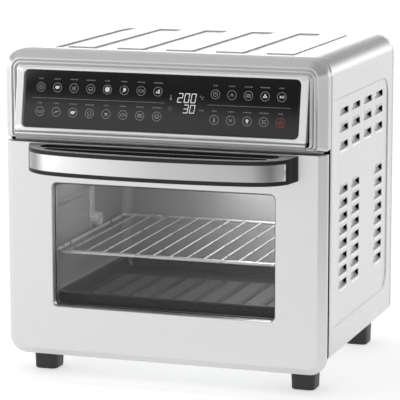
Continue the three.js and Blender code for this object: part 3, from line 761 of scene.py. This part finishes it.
def draw_wheel(form):
    disc(form, 0.0, 0.0, 3.3, 18)
    disc(form, 2.4, 2.4, 0.6)


def draw_drum(form):
    disc(form, 0.6, 0.8, 2.0, 12, 1.2)
    stroke(form, [(-0.6, -0.8), (-2.2, -2.8)], 0.7)


def draw_fish(form):
    stroke(form, arc(-0.4, 0.0, 2.7, 20, 340, 18, 0.6), 0.5)
    stroke(form, [(2.1, 0.5), (3.4, 1.4), (3.4, -1.4), (2.1, -0.5)], 0.5)


def draw_cluster(form):
    for du, dv in ((-1.4, -1.0), (1.2, 1.4), (1.6, -1.3)):
        disc(form, du, dv, 1.3, 10)


def draw_bowl(form):
    stroke(form, arc(0.0, 0.6, 2.9, 180, 360, 12, 0.95), 0.5)
    stroke(form, [(-3.1, 0.6), (3.1, 0.6)], 0.5)


def draw_wing(form):
    stroke(form, [(-2.8, -1.8), (-0.6, 0.6), (1.2, 0.2), (2.8, 2.0)], 1.1)


def draw_pepper(form):
    stroke(form, arc(0.0, 0.0, 2.5, 130, 420, 16), 0.6)
    stroke(form, [(0.0, 2.0), (0.9, 3.4)], 0.5)


def draw_cup(form):
    stroke(form, [(-1.9, 1.7), (-1.4, -2.1), (1.4, -2.1), (1.9, 1.7)], 0.55)
    disc(form, 0.0, 0.4, 1.2, 10)


def draw_grill(form):
    stroke(form, outline(-2.9, -1.8, 2.9, 1.8, 0.6, 0.6, 0.6, 0.6, 3), 0.5, closed=True)
    for i in (-1, 0, 1):
        stroke(form, [(1.4 * i, -1.4), (1.4 * i, 1.4)], 0.45)


def draw_up(form):
    stroke(form, [(-2.0, -1.5), (0.0, 1.7), (2.0, -1.5)], 1.0)


def draw_down(form):
    stroke(form, [(-2.0, 1.6), (0.0, -1.4), (2.0, 1.6)], 1.0)


def draw_fan(form):
    for turn in (90, 210, 330):
        angle = math.radians(turn)
        disc(form, 1.6 * math.cos(angle), 1.6 * math.sin(angle), 1.25, 10)


def draw_play(form):
    arrow = ((-2.4, -1.9), (0.6, 0.0), (-2.4, 1.9))
    form.faces.new([form.verts.new((u, PRINT_Y, v)) for u, v in arrow])
    patch(form, 1.0, 1.7, -1.8, 1.8)
    patch(form, 2.3, 3.0, -1.8, 1.8)


def draw_clock(form):
    stroke(form, arc(0.0, 0.0, 2.7, steps=18)[:-1], 0.5, closed=True)
    stroke(form, [(0.0, 1.5), (0.0, 0.0), (1.2, 0.0)], 0.5)


def draw_thermometer(form):
    disc(form, 0.0, -1.8, 1.3, 10)
    patch(form, -0.55, 0.55, -1.4, 2.9)


def draw_lamp(form):
    disc(form, 0.0, 0.8, 1.9, 14)
    patch(form, -0.8, 0.8, -2.6, -0.8)


def draw_dots(form):
    for i in range(4):
        angle = math.radians(45 + 90 * i)
        disc(form, 2.4 * math.cos(angle), 2.4 * math.sin(angle), 0.75, 8)
    disc(form, 0.0, 0.0, 0.8, 8)


def draw_power(form):
    stroke(form, arc(0.0, -0.1, 2.3, 120, 420, 18), 0.6)
    patch(form, -0.35, 0.35, 0.6, 2.9)


LEFT_UPPER = [draw_toast, draw_roast, draw_slices, draw_bun, draw_wheel, draw_drum, draw_fish, draw_cluster]
LEFT_LOWER = [draw_bowl, draw_wing, draw_roast, draw_pepper, draw_cup, draw_fish, draw_grill, draw_bun]
RIGHT_UPPER = [draw_clock, draw_up, draw_grill, draw_fan, draw_play]
RIGHT_LOWER = [draw_thermometer, draw_down, draw_lamp, draw_dots, draw_power]

SEGMENTS = {"0": "abcdef", "2": "abged", "3": "abgcd"}


def draw_digit(form, digit, left, low, wide, tall, lean):
    """A seven-segment figure, leaning to the right."""
    thick = tall * 0.078
    gap = thick * 0.35
    half = tall / 2.0

    def slant(v):
        return lean * (v - low) / tall

    def level(v):
        inset = thick * 0.55
        patch(form, left + inset + slant(v), left + wide - inset + slant(v), v, v + thick, 0.15)

    def post(u, v0, v1):
        patch(form, u + slant(v0), u + thick + slant(v0), v0, v1, slant(v1) - slant(v0))

    right = left + wide - thick
    levels = {"a": low + tall - thick, "g": low + half - thick / 2.0, "d": low}
    posts = {
        "f": (left, half, tall), "b": (right, half, tall),
        "e": (left, 0.0, half), "c": (right, 0.0, half),
    }
    for segment in SEGMENTS[digit]:
        if segment in levels:
            level(levels[segment])
        else:
            u, start, end = posts[segment]
            post(u, low + start + gap, low + end - gap)


def printed_piece(name, form, ink):
    """Flat ink on the control glass, with every mark facing forward."""
    for face in form.faces:
        face.normal_update()
        if face.normal.y > 0:
            face.normal_flip()
    piece = new_object(name, form, ink, TO_ROW @ ON_FACE)
    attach(piece, "housing")


def draw_at(form, draw, u, v, share=1.0):
    """Draws a symbol round the glass's middle, scales it and moves it to its place."""
    start = len(form.verts)
    draw(form)
    form.verts.ensure_lookup_table()
    for vert in form.verts[start:]:
        vert.co.x = u + vert.co.x * share
        vert.co.z = v + vert.co.z * share


def make_panel_print():
    """Ringed keys in two rows on each side, with dashes for words and the digits between them."""
    rings, symbols, faint, labels, rules, red, digits = (bmesh.new() for _ in range(7))
    lit = (draw_wheel, draw_roast, draw_cluster, draw_fan, draw_play, draw_lamp, draw_drum)
    rows = [
        (LEFT_KEYS, KEY_ROWS["left"][0], LEFT_UPPER), (LEFT_KEYS, KEY_ROWS["left"][1], LEFT_LOWER),
        (RIGHT_KEYS, KEY_ROWS["right"][0], RIGHT_UPPER), (RIGHT_KEYS, KEY_ROWS["right"][1], RIGHT_LOWER),
    ]
    for keys, v, drawings in rows:
        for i, (u, draw) in enumerate(zip(keys, drawings)):
            if draw is draw_power:
                ring, symbol = red, red
            elif draw in lit:
                ring, symbol = rings, symbols
            else:
                ring, symbol = rings, faint
            key_ring(ring, u, v)
            draw_at(symbol, draw, u, v, SYMBOL_SHARE)
            key_label(labels, u, v + LABEL_RISE, LABEL_WIDTHS[i % 4])
    for left, right in RULES:
        patch(rules, left, right, 0.7, 1.15)
    for line in DISPLAY:
        for i, digit in enumerate(line["digits"]):
            left = line["left"] + line["pitch"] * i
            draw_digit(digits, digit, left, line["low"], DIGIT_WIDTH, line["tall"], line["lean"])
    stroke(labels, arc(48.6, 9.7, 0.8, steps=10)[:-1], 0.45, closed=True)
    stroke(labels, arc(51.6, 7.7, 1.5, 50, 310, 12), 0.6)
    key_label(labels, 50.6, -6.3, 6.0)
    draw_at(labels, draw_thermometer, 14.1, 7.6)
    stroke(rules, arc(13.6, -4.9, 2.2, steps=4)[:-1], 0.5, closed=True)
    printed_piece("print_key_rings", rings, pale_ink)
    printed_piece("print_symbols", symbols, bright_ink)
    printed_piece("print_faint_symbols", faint, pale_ink)
    printed_piece("print_labels", labels, dim_ink)
    printed_piece("print_rules", rules, dim_ink)
    printed_piece("print_power_key", red, red_ink)
    printed_piece("print_digits", digits, digit_ink)


# ---- Door -------------------------------------------------------------------------------------------

def door_ring(inset, y, top_inset=0.0):
    low_corner = 20.0 - inset
    points = outline(
        -HALF + inset, DOOR_LOW.z + inset, HALF - inset, DOOR_HIGH.z - top_inset,
        bl=low_corner, br=low_corner, tr=1.5, tl=1.5, steps=10,
    )
    return upright(points, y)


def window_ring(shrink, y):
    radius = WINDOW["corner"] - shrink * 0.5
    half, bottom, top = WINDOW["half"] - shrink, WINDOW["bottom"] + shrink, WINDOW["top"] - shrink
    return upright(rounded(-half, bottom, half, top, radius, 10), y)


def make_door_frame():
    """The chamfered door front, from its rear edge round to the reveal of the window."""
    reveal = WINDOW["reveal"]
    rings = [
        door_ring(1.0, 4.9, 1.0), door_ring(0.0, 4.4), door_ring(0.0, 0.4), door_ring(0.4, -0.4, 0.2),
        door_ring(0.8, -0.8, 0.3), door_ring(7.7, -7.7, 0.5), door_ring(8.1, -8.1, 0.6),
        door_ring(8.6, -8.5, 0.9), door_ring(9.4, -8.5, 1.6),
        window_ring(-1.0, -8.5), window_ring(-0.2, -8.5), window_ring(0.3, -8.2), window_ring(0.6, -7.8),
        window_ring(reveal, -3.4), window_ring(reveal, 4.9),
    ]
    form = bmesh.new()
    skin(form, rings, False, False)
    piece = new_piece("door_front", form, brushed, "door", angle=28.0)
    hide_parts("door_frame")


def make_window():
    """The pane, and the black gasket that shows as a thin line round it."""
    reveal = WINDOW["reveal"]
    form = bmesh.new()
    overlap = 3.0
    half, bottom, top = WINDOW["half"] + overlap, WINDOW["bottom"] - overlap, WINDOW["top"] + overlap

    def ring(inset, y):
        return upright(rounded(-half + inset, bottom + inset, half - inset, top - inset, 6), y)

    skin(form, [ring(0.4, -1.2), ring(0.0, -0.8), ring(0.0, 2.2), ring(0.4, 2.6)])
    piece = new_piece("window_pane", form, window_pane, "door", angle=30.0)
    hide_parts("window_glass")
    seal = bmesh.new()
    section = ((-0.3, -1.5), (0.5, -1.5), (0.5, -2.9), (-0.3, -2.9), (-0.3, -1.5))
    rings = [window_ring(reveal + past, y) for past, y in section]
    skin(seal, rings, False, False)
    bmesh.ops.remove_doubles(seal, verts=seal.verts, dist=0.001)
    gasket = new_piece("window_gasket", seal, plastic, "door", angle=30.0)


# Place along the handle plate and how dark it is painted there, from 0 to 1: painted shade and painted
# reflection along the plate.
PLATE_PAINTED_SHADE = [
    (-151.0, 0.5), (-141.0, 0.75), (-128.0, 0.0), (-110.0, 0.0), (-60.0, 0.12),
    (15.0, 0.42), (116.0, 0.5), (137.0, 0.85), (147.0, 0.35), (151.0, 0.35),
]


def bow(x):
    """Front line of the grip: a shallow bow that turns in quickly at both ends."""
    share = abs(x) / HANDLE["half"]
    return HANDLE["bow"] + HANDLE["sag"] * share ** 2 + HANDLE["turn"] * share ** 12


def lean(y):
    return HANDLE["lean"] * (y - HANDLE["bow"]) / (-CHAMFER - HANDLE["bow"])


def span(low, high, count):
    return [low + (high - low) * i / count for i in range(count + 1)]


def crowded(half, count):
    """Places from -half to half that lie closer together toward both ends."""
    return [-half * math.cos(math.pi * i / count) for i in range(count + 1)]


def plate_painted_shade(x):
    """How much painted shade and reflection the brushed plate takes: least on the left bow, most just before
    each end.
    """
    for (x0, tone0), (x1, tone1) in zip(PLATE_PAINTED_SHADE, PLATE_PAINTED_SHADE[1:]):
        if x <= x1:
            return tone0 + (tone1 - tone0) * max(x - x0, 0.0) / (x1 - x0)
    return PLATE_PAINTED_SHADE[-1][1]


def slot_loop(half, front, back, count):
    """A long slot with round ends between two lines across the grip, counterclockwise."""
    xs = span(-half, half, count)
    lower = [(x, front(x)) for x in xs]
    upper = [(x, back(x)) for x in reversed(xs)]
    ends = []
    for (x0, y0), (x1, y1), sign in ((lower[-1], upper[0], 1), (upper[-1], lower[0], -1)):
        radius = abs(y1 - y0) / 2.0
        middle = (y0 + y1) / 2.0
        turns = [math.radians(-90 + 180 * k / 6) for k in range(1, 6)]
        reach = sign * radius
        ends.append([(x0 + reach * math.cos(t), middle + reach * math.sin(t)) for t in turns])
    return lower + ends[0] + upper + ends[1]


def plate_faces(form, loops, z):
    """A flat face bounded by an outer loop with holes, filled by triangles."""
    edges = []
    rows = []
    for loop in loops:
        verts = [form.verts.new((x, y, z + lean(y))) for x, y in loop]
        rows.append(verts)
        edges += [form.edges.new((a, b)) for a, b in zip(verts, verts[1:] + verts[:1])]
    bmesh.ops.triangle_fill(form, use_beauty=True, use_dissolve=False, edges=edges)
    return rows


def make_grip():
    """A bowed black grip pierced by two long slots, painted lighter on top as painted light and near-black
    inside the slots as painted shadow.
    """
    half, root = HANDLE["half"], HANDLE["root_half"]
    low, high = HANDLE["low"], HANDLE["high"]
    front = [(x, bow(x)) for x in crowded(half, 48)]
    outer = [*front, (root, -9.6), (root - 0.6, -8.9), (-root + 0.6, -8.9), (-root, -9.6)]
    rear_slot = slot_loop(133.0, lambda x: -27.2, lambda x: -12.0, 24)
    front_slot = slot_loop(127.0, lambda x: min(bow(x) + 6.4, -32.5), lambda x: -29.0, 24)
    form = bmesh.new()
    loops = [outer, rear_slot, front_slot]
    top_rows = plate_faces(form, loops, high)
    # The top faces take the lighter grey: painted light.
    for face in form.faces:
        face.material_index = 2
    low_rows = plate_faces(form, loops, low)
    for part, (upper, lower) in enumerate(zip(top_rows, low_rows)):
        for i in range(len(upper)):
            j = (i + 1) % len(upper)
            wall = form.faces.new((lower[i], lower[j], upper[j], upper[i]))
            # The walls of the two slots take the near-black: painted shadow.
            wall.material_index = min(part, 1)
    grip = new_piece("handle_grip_body", form, plastic, "door", angle=35.0, bevel=0.6)
    grip.data.materials.append(painted_shadow)
    grip.data.materials.append(grip_painted_light)
    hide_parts("handle_grip")


def make_handle_plate():
    """The brushed plate let into the grip's front, darkened along its length by the mesh attribute as
    painted shade and reflection.
    """
    low, high = HANDLE["low"], HANDLE["high"]
    reach = HANDLE["half"] - 1.9
    plate = bmesh.new()
    heights = [low + 4.4, low + 4.9, (low + high) / 2, high - 4.8, high - 4.3]
    depths = [0.3, -0.35, -0.45, -0.35, 0.3]
    plate_shade_layer = plate.verts.layers.float.new("painted_shade")
    rows = []
    for x in crowded(reach, 64):
        end = smooth_step(reach - abs(x), 0.0, 0.8)
        rows.append([(x, bow(x) + 0.3 + (d - 0.3) * end, h + lean(bow(x))) for h, d in zip(heights, depths)])
    # Each vertex keeps the painted shade and reflection for its place along the plate.
    for loop in skin(plate, rows, False, False, closed=False):
        for vert in loop:
            vert[plate_shade_layer] = plate_painted_shade(vert.co.x)
    cover = new_piece("handle_front_plate", plate, satin, "door", angle=40.0)
    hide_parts("handle_plate")


# ---- Cavity and what stands in it ---------------------------------------------------------------------

def make_cavity():
    """An open-fronted box with rounded rear corners, drawn as sections from its mouth to its back."""
    form = bmesh.new()
    half, low, high = CAVITY["half"], CAVITY["low"], CAVITY["high"]
    front, back, corner = CAVITY["front"], CAVITY["back"], CAVITY["corner"]

    def ring(inset, y):
        return upright(rounded(-half + inset, low, half - inset, high, 3, 4), y)

    rings = [ring(0.0, front)]
    rings += [ring(0.0, y) for y in span(30.0, back - corner, 8)]
    for i in range(1, 9):
        turn = math.radians(90.0 * i / 8)
        rings.append(ring(corner * (1 - math.cos(turn)), back - corner * (1 - math.sin(turn))))
    skin(form, rings, False, True)
    form.normal_update()
    for face in form.faces:
        face.material_index = 1 if abs(face.normal.y) > 0.8 else 0
    piece = new_piece("cavity_inner", form, aluminised, angle=40.0)
    piece.data.materials.append(rear_wall)
    add_thickness(piece, 0.5, offset=1.0)
    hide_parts("cavity_liner")


RACK = {"frame_radius": 2.0, "rod_radius": 0.95, "rods": 13, "outer_rod": 123.0, "rise": 3.5}


def make_rack():
    """A wire frame with straight rods welded on top, its back higher than its front."""
    low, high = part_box("wire_rack")
    radius = RACK["frame_radius"]
    rise = RACK["rise"]
    half = high[0] / MM - radius
    front, back = low[1] / MM - LINE + radius, high[1] / MM - LINE - radius
    z = low[2] / MM + radius
    form = bmesh.new()
    loop = rounded_route([
        (0, front, z), (half, front, z), (half, back, z + rise), (-half, back, z + rise), (-half, front, z),
        (0, front, z),
    ], 5.0)
    tube(form, loop[:-1], radius, 12, closed=True)
    for x in span(-RACK["outer_rod"], RACK["outer_rod"], RACK["rods"] - 1):
        tube(form, [(x, front - 0.6, z + 1.0), (x, back + 0.6, z + rise + 1.0)], RACK["rod_radius"], 8)
    piece = new_piece("rack_wires", form, chrome, "rack", angle=60.0)
    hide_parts("wire_rack")


def make_tray():
    """A rolled-rim enamel pan with a lighter grey floor and darker ribs across it."""
    low, high = (Vector(v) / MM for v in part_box("baking_tray"))
    y0, y1 = low.y - LINE, high.y - LINE
    form = bmesh.new()

    def ring(inset, z):
        return flat(rounded(low.x + inset, y0 + inset, high.x - inset, y1 - inset, 9.0, 6), z)

    rings = [ring(0.8, high.z - 1.6), ring(0.0, high.z - 0.9), ring(0.3, high.z - 0.2), ring(1.0, high.z),
             ring(5.4, high.z), ring(6.6, high.z - 0.8), ring(9.6, low.z + 2.0), ring(11.5, low.z + 1.0)]
    skin(form, rings, False, True)
    piece = new_piece("tray_pan", form, enamel, "tray", angle=40.0)
    add_thickness(piece, 0.7)
    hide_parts("baking_tray")

    floor = bmesh.new()
    ribs = bmesh.new()
    floor_z = low.z + 1.9
    left, right = low.x + 16.0, high.x - 16.0
    floor_patch = outline(left, y0 + 16.0, right, y1 - 60.0, steps=1)
    skin(floor, [flat(floor_patch, z) for z in (floor_z - 0.5, floor_z)])
    for x in span(left + 4.0, right - 4.0, 9):
        rings = [flat(rounded(x - w, y0 + 17.0, x + w, y1 - 62.0, w, 3), floor_z + z)
                 for w, z in ((4.0, -0.2), (3.6, 1.0), (2.6, 1.6))]
        skin(ribs, rings)
    for name, form, material in (("tray_floor", floor, grey_floor_enamel), ("tray_ribs", ribs, enamel)):
        new_piece(name, form, material, "tray", angle=40.0)


HEATERS = [
    ("upper_heater_tube", "upper_element", (58.0, 104.0, 170.0, 216.0), 232.0),
    ("lower_heater_tube", "lower_element", (70.0, 200.0), 72.0),
]


def make_element(name, node, legs, z):
    """A tubular heater that snakes across the cavity and leaves through the right wall."""
    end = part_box(node)[1][0] / MM
    left, right = -125.0, 118.0
    points = []
    for i, y in enumerate(legs):
        near = end if i in (0, len(legs) - 1) else right
        stops = [(near, y, z), (left, y, z)]
        points += stops if i % 2 == 0 else stops[::-1]
    form = bmesh.new()
    tube(form, rounded_route(points, 18.0, 8), 3.25, 12)
    piece = new_piece(name, form, oxide, angle=60.0)
    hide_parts(node)


def make_foot(node):
    """A tapered foot with rounded corners and a hollow ring moulded under it."""
    low, high = (Vector(v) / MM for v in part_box(node))
    cx, cy = (low.x + high.x) / 2, (low.y + high.y) / 2 - LINE
    form = bmesh.new()

    def ring(half, z, radius=6.0):
        return flat(rounded(cx - half, cy - half, cx + half, cy + half, radius, 6), z)

    rings = [ring(8.6, 0.8, 4.0), ring(8.8, 0.0, 4.0), ring(12.9, 0.0), ring(13.5, 0.6), ring(13.7, 1.6),
             ring(14.6, 34.0), ring(14.9, 35.6), ring(14.9, BODY_BOTTOM - 0.3)]
    skin(form, rings)
    piece = new_piece(f"{node}_moulded", form, rubber, angle=35.0)
    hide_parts(node)


# ---- Finishes of the CAD pieces that stay ----------------------------------------------------------------

def sided(*names):
    return [f"{name}_{side}" for name in names for side in ("left", "right")]


def finish_nodes():
    """Procedural finishes for the CAD pieces that aren't replaced."""
    finishes = {
        enamel: ["door_liner"],
        zinc: [
            "back_panel", "bottom_plate", "front_frame", "fan_motor", "motor_bracket",
            "fan_blade", "cooling_fan", "lamp_housing",
            *sided("hinge_bracket", "door_arm", "case_screw_upper", "case_screw_lower", "handle_screw"),
        ],
        aluminised: ["left_runner", "right_runner", "crumb_tray", "fan_guard"],
        chrome: ["fan_shaft", "temperature_probe", "spit_rest", "spit_socket", *sided("hinge_pin")],
        ceramic: [
            "bushing_upper_front", "bushing_upper_rear", "bushing_lower_front", "bushing_lower_rear",
            "terminal_block",
        ],
        laminate: ["power_board", "control_board"],
        plastic: ["cord_gland", "spit_motor", *sided("rear_spacer")],
        smoked: ["display_module"],
        lens_glass: ["lamp_lens", "lamp_bulb"],
    }
    for material, names in finishes.items():
        for name in names:
            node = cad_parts[name]
            for slot in node.material_slots:
                slot.material = material
            if not node.material_slots:
                node.data.materials.append(material)


# ---- Stage: floor, light and camera -------------------------------------------------------------------

def make_floor():
    """A pale floor that glows a little, least toward the far right."""
    reach = 30000.0
    form = bmesh.new()
    corners = ((-reach, -reach), (reach, -reach), (reach, reach), (-reach, reach))
    form.faces.new([form.verts.new((x, y, -0.5)) for x, y in corners])
    pale = surface("studio_floor", grey(0.86), 0.8, tint=0.003, spread=0.02, scale=2.0, bump=0.0)
    tree = pale.node_tree
    shader = tree.nodes["Principled BSDF"]
    place = tree.nodes.new("ShaderNodeTexCoord")
    split = tree.nodes.new("ShaderNodeSeparateXYZ")
    tree.links.new(place.outputs["Object"], split.inputs["Vector"])
    to_right = tree.nodes.new("ShaderNodeMath")
    to_right.operation = "MULTIPLY_ADD"
    to_right.inputs[1].default_value = -0.4
    tree.links.new(split.outputs["Y"], to_right.inputs[0])
    tree.links.new(split.outputs["X"], to_right.inputs[2])
    glow = map_range(tree, to_right.outputs["Value"], 0.5, 1.8, 0.54, 0.0)
    tree.links.new(glow, shader.inputs["Emission Strength"])
    shader.inputs["Emission Color"].default_value = (1.0, 1.0, 1.0, 1.0)
    new_object("floor", form, pale, Matrix.Scale(MM, 4))


def make_world():
    """A studio that is bright round the horizon, dimmer overhead and dimmer in front of the oven."""
    world = bpy.data.worlds.new("studio")
    bpy.context.scene.world = world
    world.use_nodes = True
    nodes = world.node_tree.nodes
    links = world.node_tree.links
    background = nodes["Background"]
    background.inputs["Color"].default_value = (1.0, 1.0, 1.0, 1.0)
    place = nodes.new("ShaderNodeTexCoord")
    split = nodes.new("ShaderNodeSeparateXYZ")
    links.new(place.outputs["Generated"], split.inputs["Vector"])
    height = nodes.new("ShaderNodeValToRGB")
    height.color_ramp.elements[0].position = 0.13
    height.color_ramp.elements[0].color = (1.32, 1.32, 1.32, 1.0)
    height.color_ramp.elements[1].position = 0.24
    height.color_ramp.elements[1].color = (0.2, 0.2, 0.2, 1.0)
    overhead = height.color_ramp.elements.new(0.6)
    overhead.color = (0.46, 0.46, 0.46, 1.0)
    links.new(split.outputs["Z"], height.inputs["Fac"])
    toward_back = map_range(world.node_tree, split.outputs["Y"], -0.9, 0.1, 0.85, 1.75)
    toward_right = map_range(world.node_tree, split.outputs["X"], -0.3, 0.25, 1.0, 0.66)
    value = height.outputs["Color"]
    for factor in (toward_back, toward_right):
        product = nodes.new("ShaderNodeMath")
        product.operation = "MULTIPLY"
        links.new(value, product.inputs[0])
        links.new(factor, product.inputs[1])
        value = product.outputs["Value"]
    links.new(value, background.inputs["Strength"])


def soft_light(name, place, target, width, height, power):
    light = bpy.data.lights.new(name, "AREA")
    light.shape = "RECTANGLE"
    light.size = width
    light.size_y = height
    light.energy = power
    lamp = bpy.data.objects.new(name, light)
    lamp.location = place
    lamp.rotation_euler = (Vector(target) - Vector(place)).to_track_quat("-Z", "Y").to_euler()
    bpy.context.scene.collection.objects.link(lamp)


def make_camera():
    """A long lens from the front right, a little above the oven's top."""
    data = bpy.data.cameras.new("camera")
    data.sensor_width = 36.0
    data.lens = 201.969
    data.clip_end = 100.0
    camera = bpy.data.objects.new("camera", data)
    camera.location = (0.8396, -2.4575, 0.6466)
    camera.rotation_euler = (math.radians(80.057), math.radians(0.078), math.radians(18.846))
    bpy.context.scene.collection.objects.link(camera)
    bpy.context.scene.camera = camera


def make_stage():
    scene = bpy.context.scene
    scene.view_settings.view_transform = "Standard"
    make_floor()
    make_world()
    middle = (0.0, 0.0, 0.2)
    soft_light("softbox_left", (-1.75, -1.75, 0.75), middle, 0.8, 1.4, 7.0)
    soft_light("cavity_back", (0.06, 0.075, 0.225), (0.09, 0.137, 0.19), 0.16, 0.03, 0.13)
    soft_light("cavity_front", (0.08, -0.07, 0.25), (0.10, -0.02, 0.09), 0.08, 0.02, 0.3)
    soft_light("cavity_left", (-0.04, -0.05, 0.25), (-0.14, 0.05, 0.18), 0.05, 0.02, 0.08)


make_camera()
make_stage()
make_outer_shell()
make_louvres()
make_bezel()
make_control_housing()
make_control_glass()
make_panel_print()
make_door_frame()
make_window()
make_grip()
make_handle_plate()
make_cavity()
make_rack()
make_tray()
for name, node, legs, z in HEATERS:
    make_element(name, node, legs, z)
for foot in ("foot_front_left", "foot_front_right", "foot_rear_left", "foot_rear_right"):
    make_foot(foot)
finish_nodes()
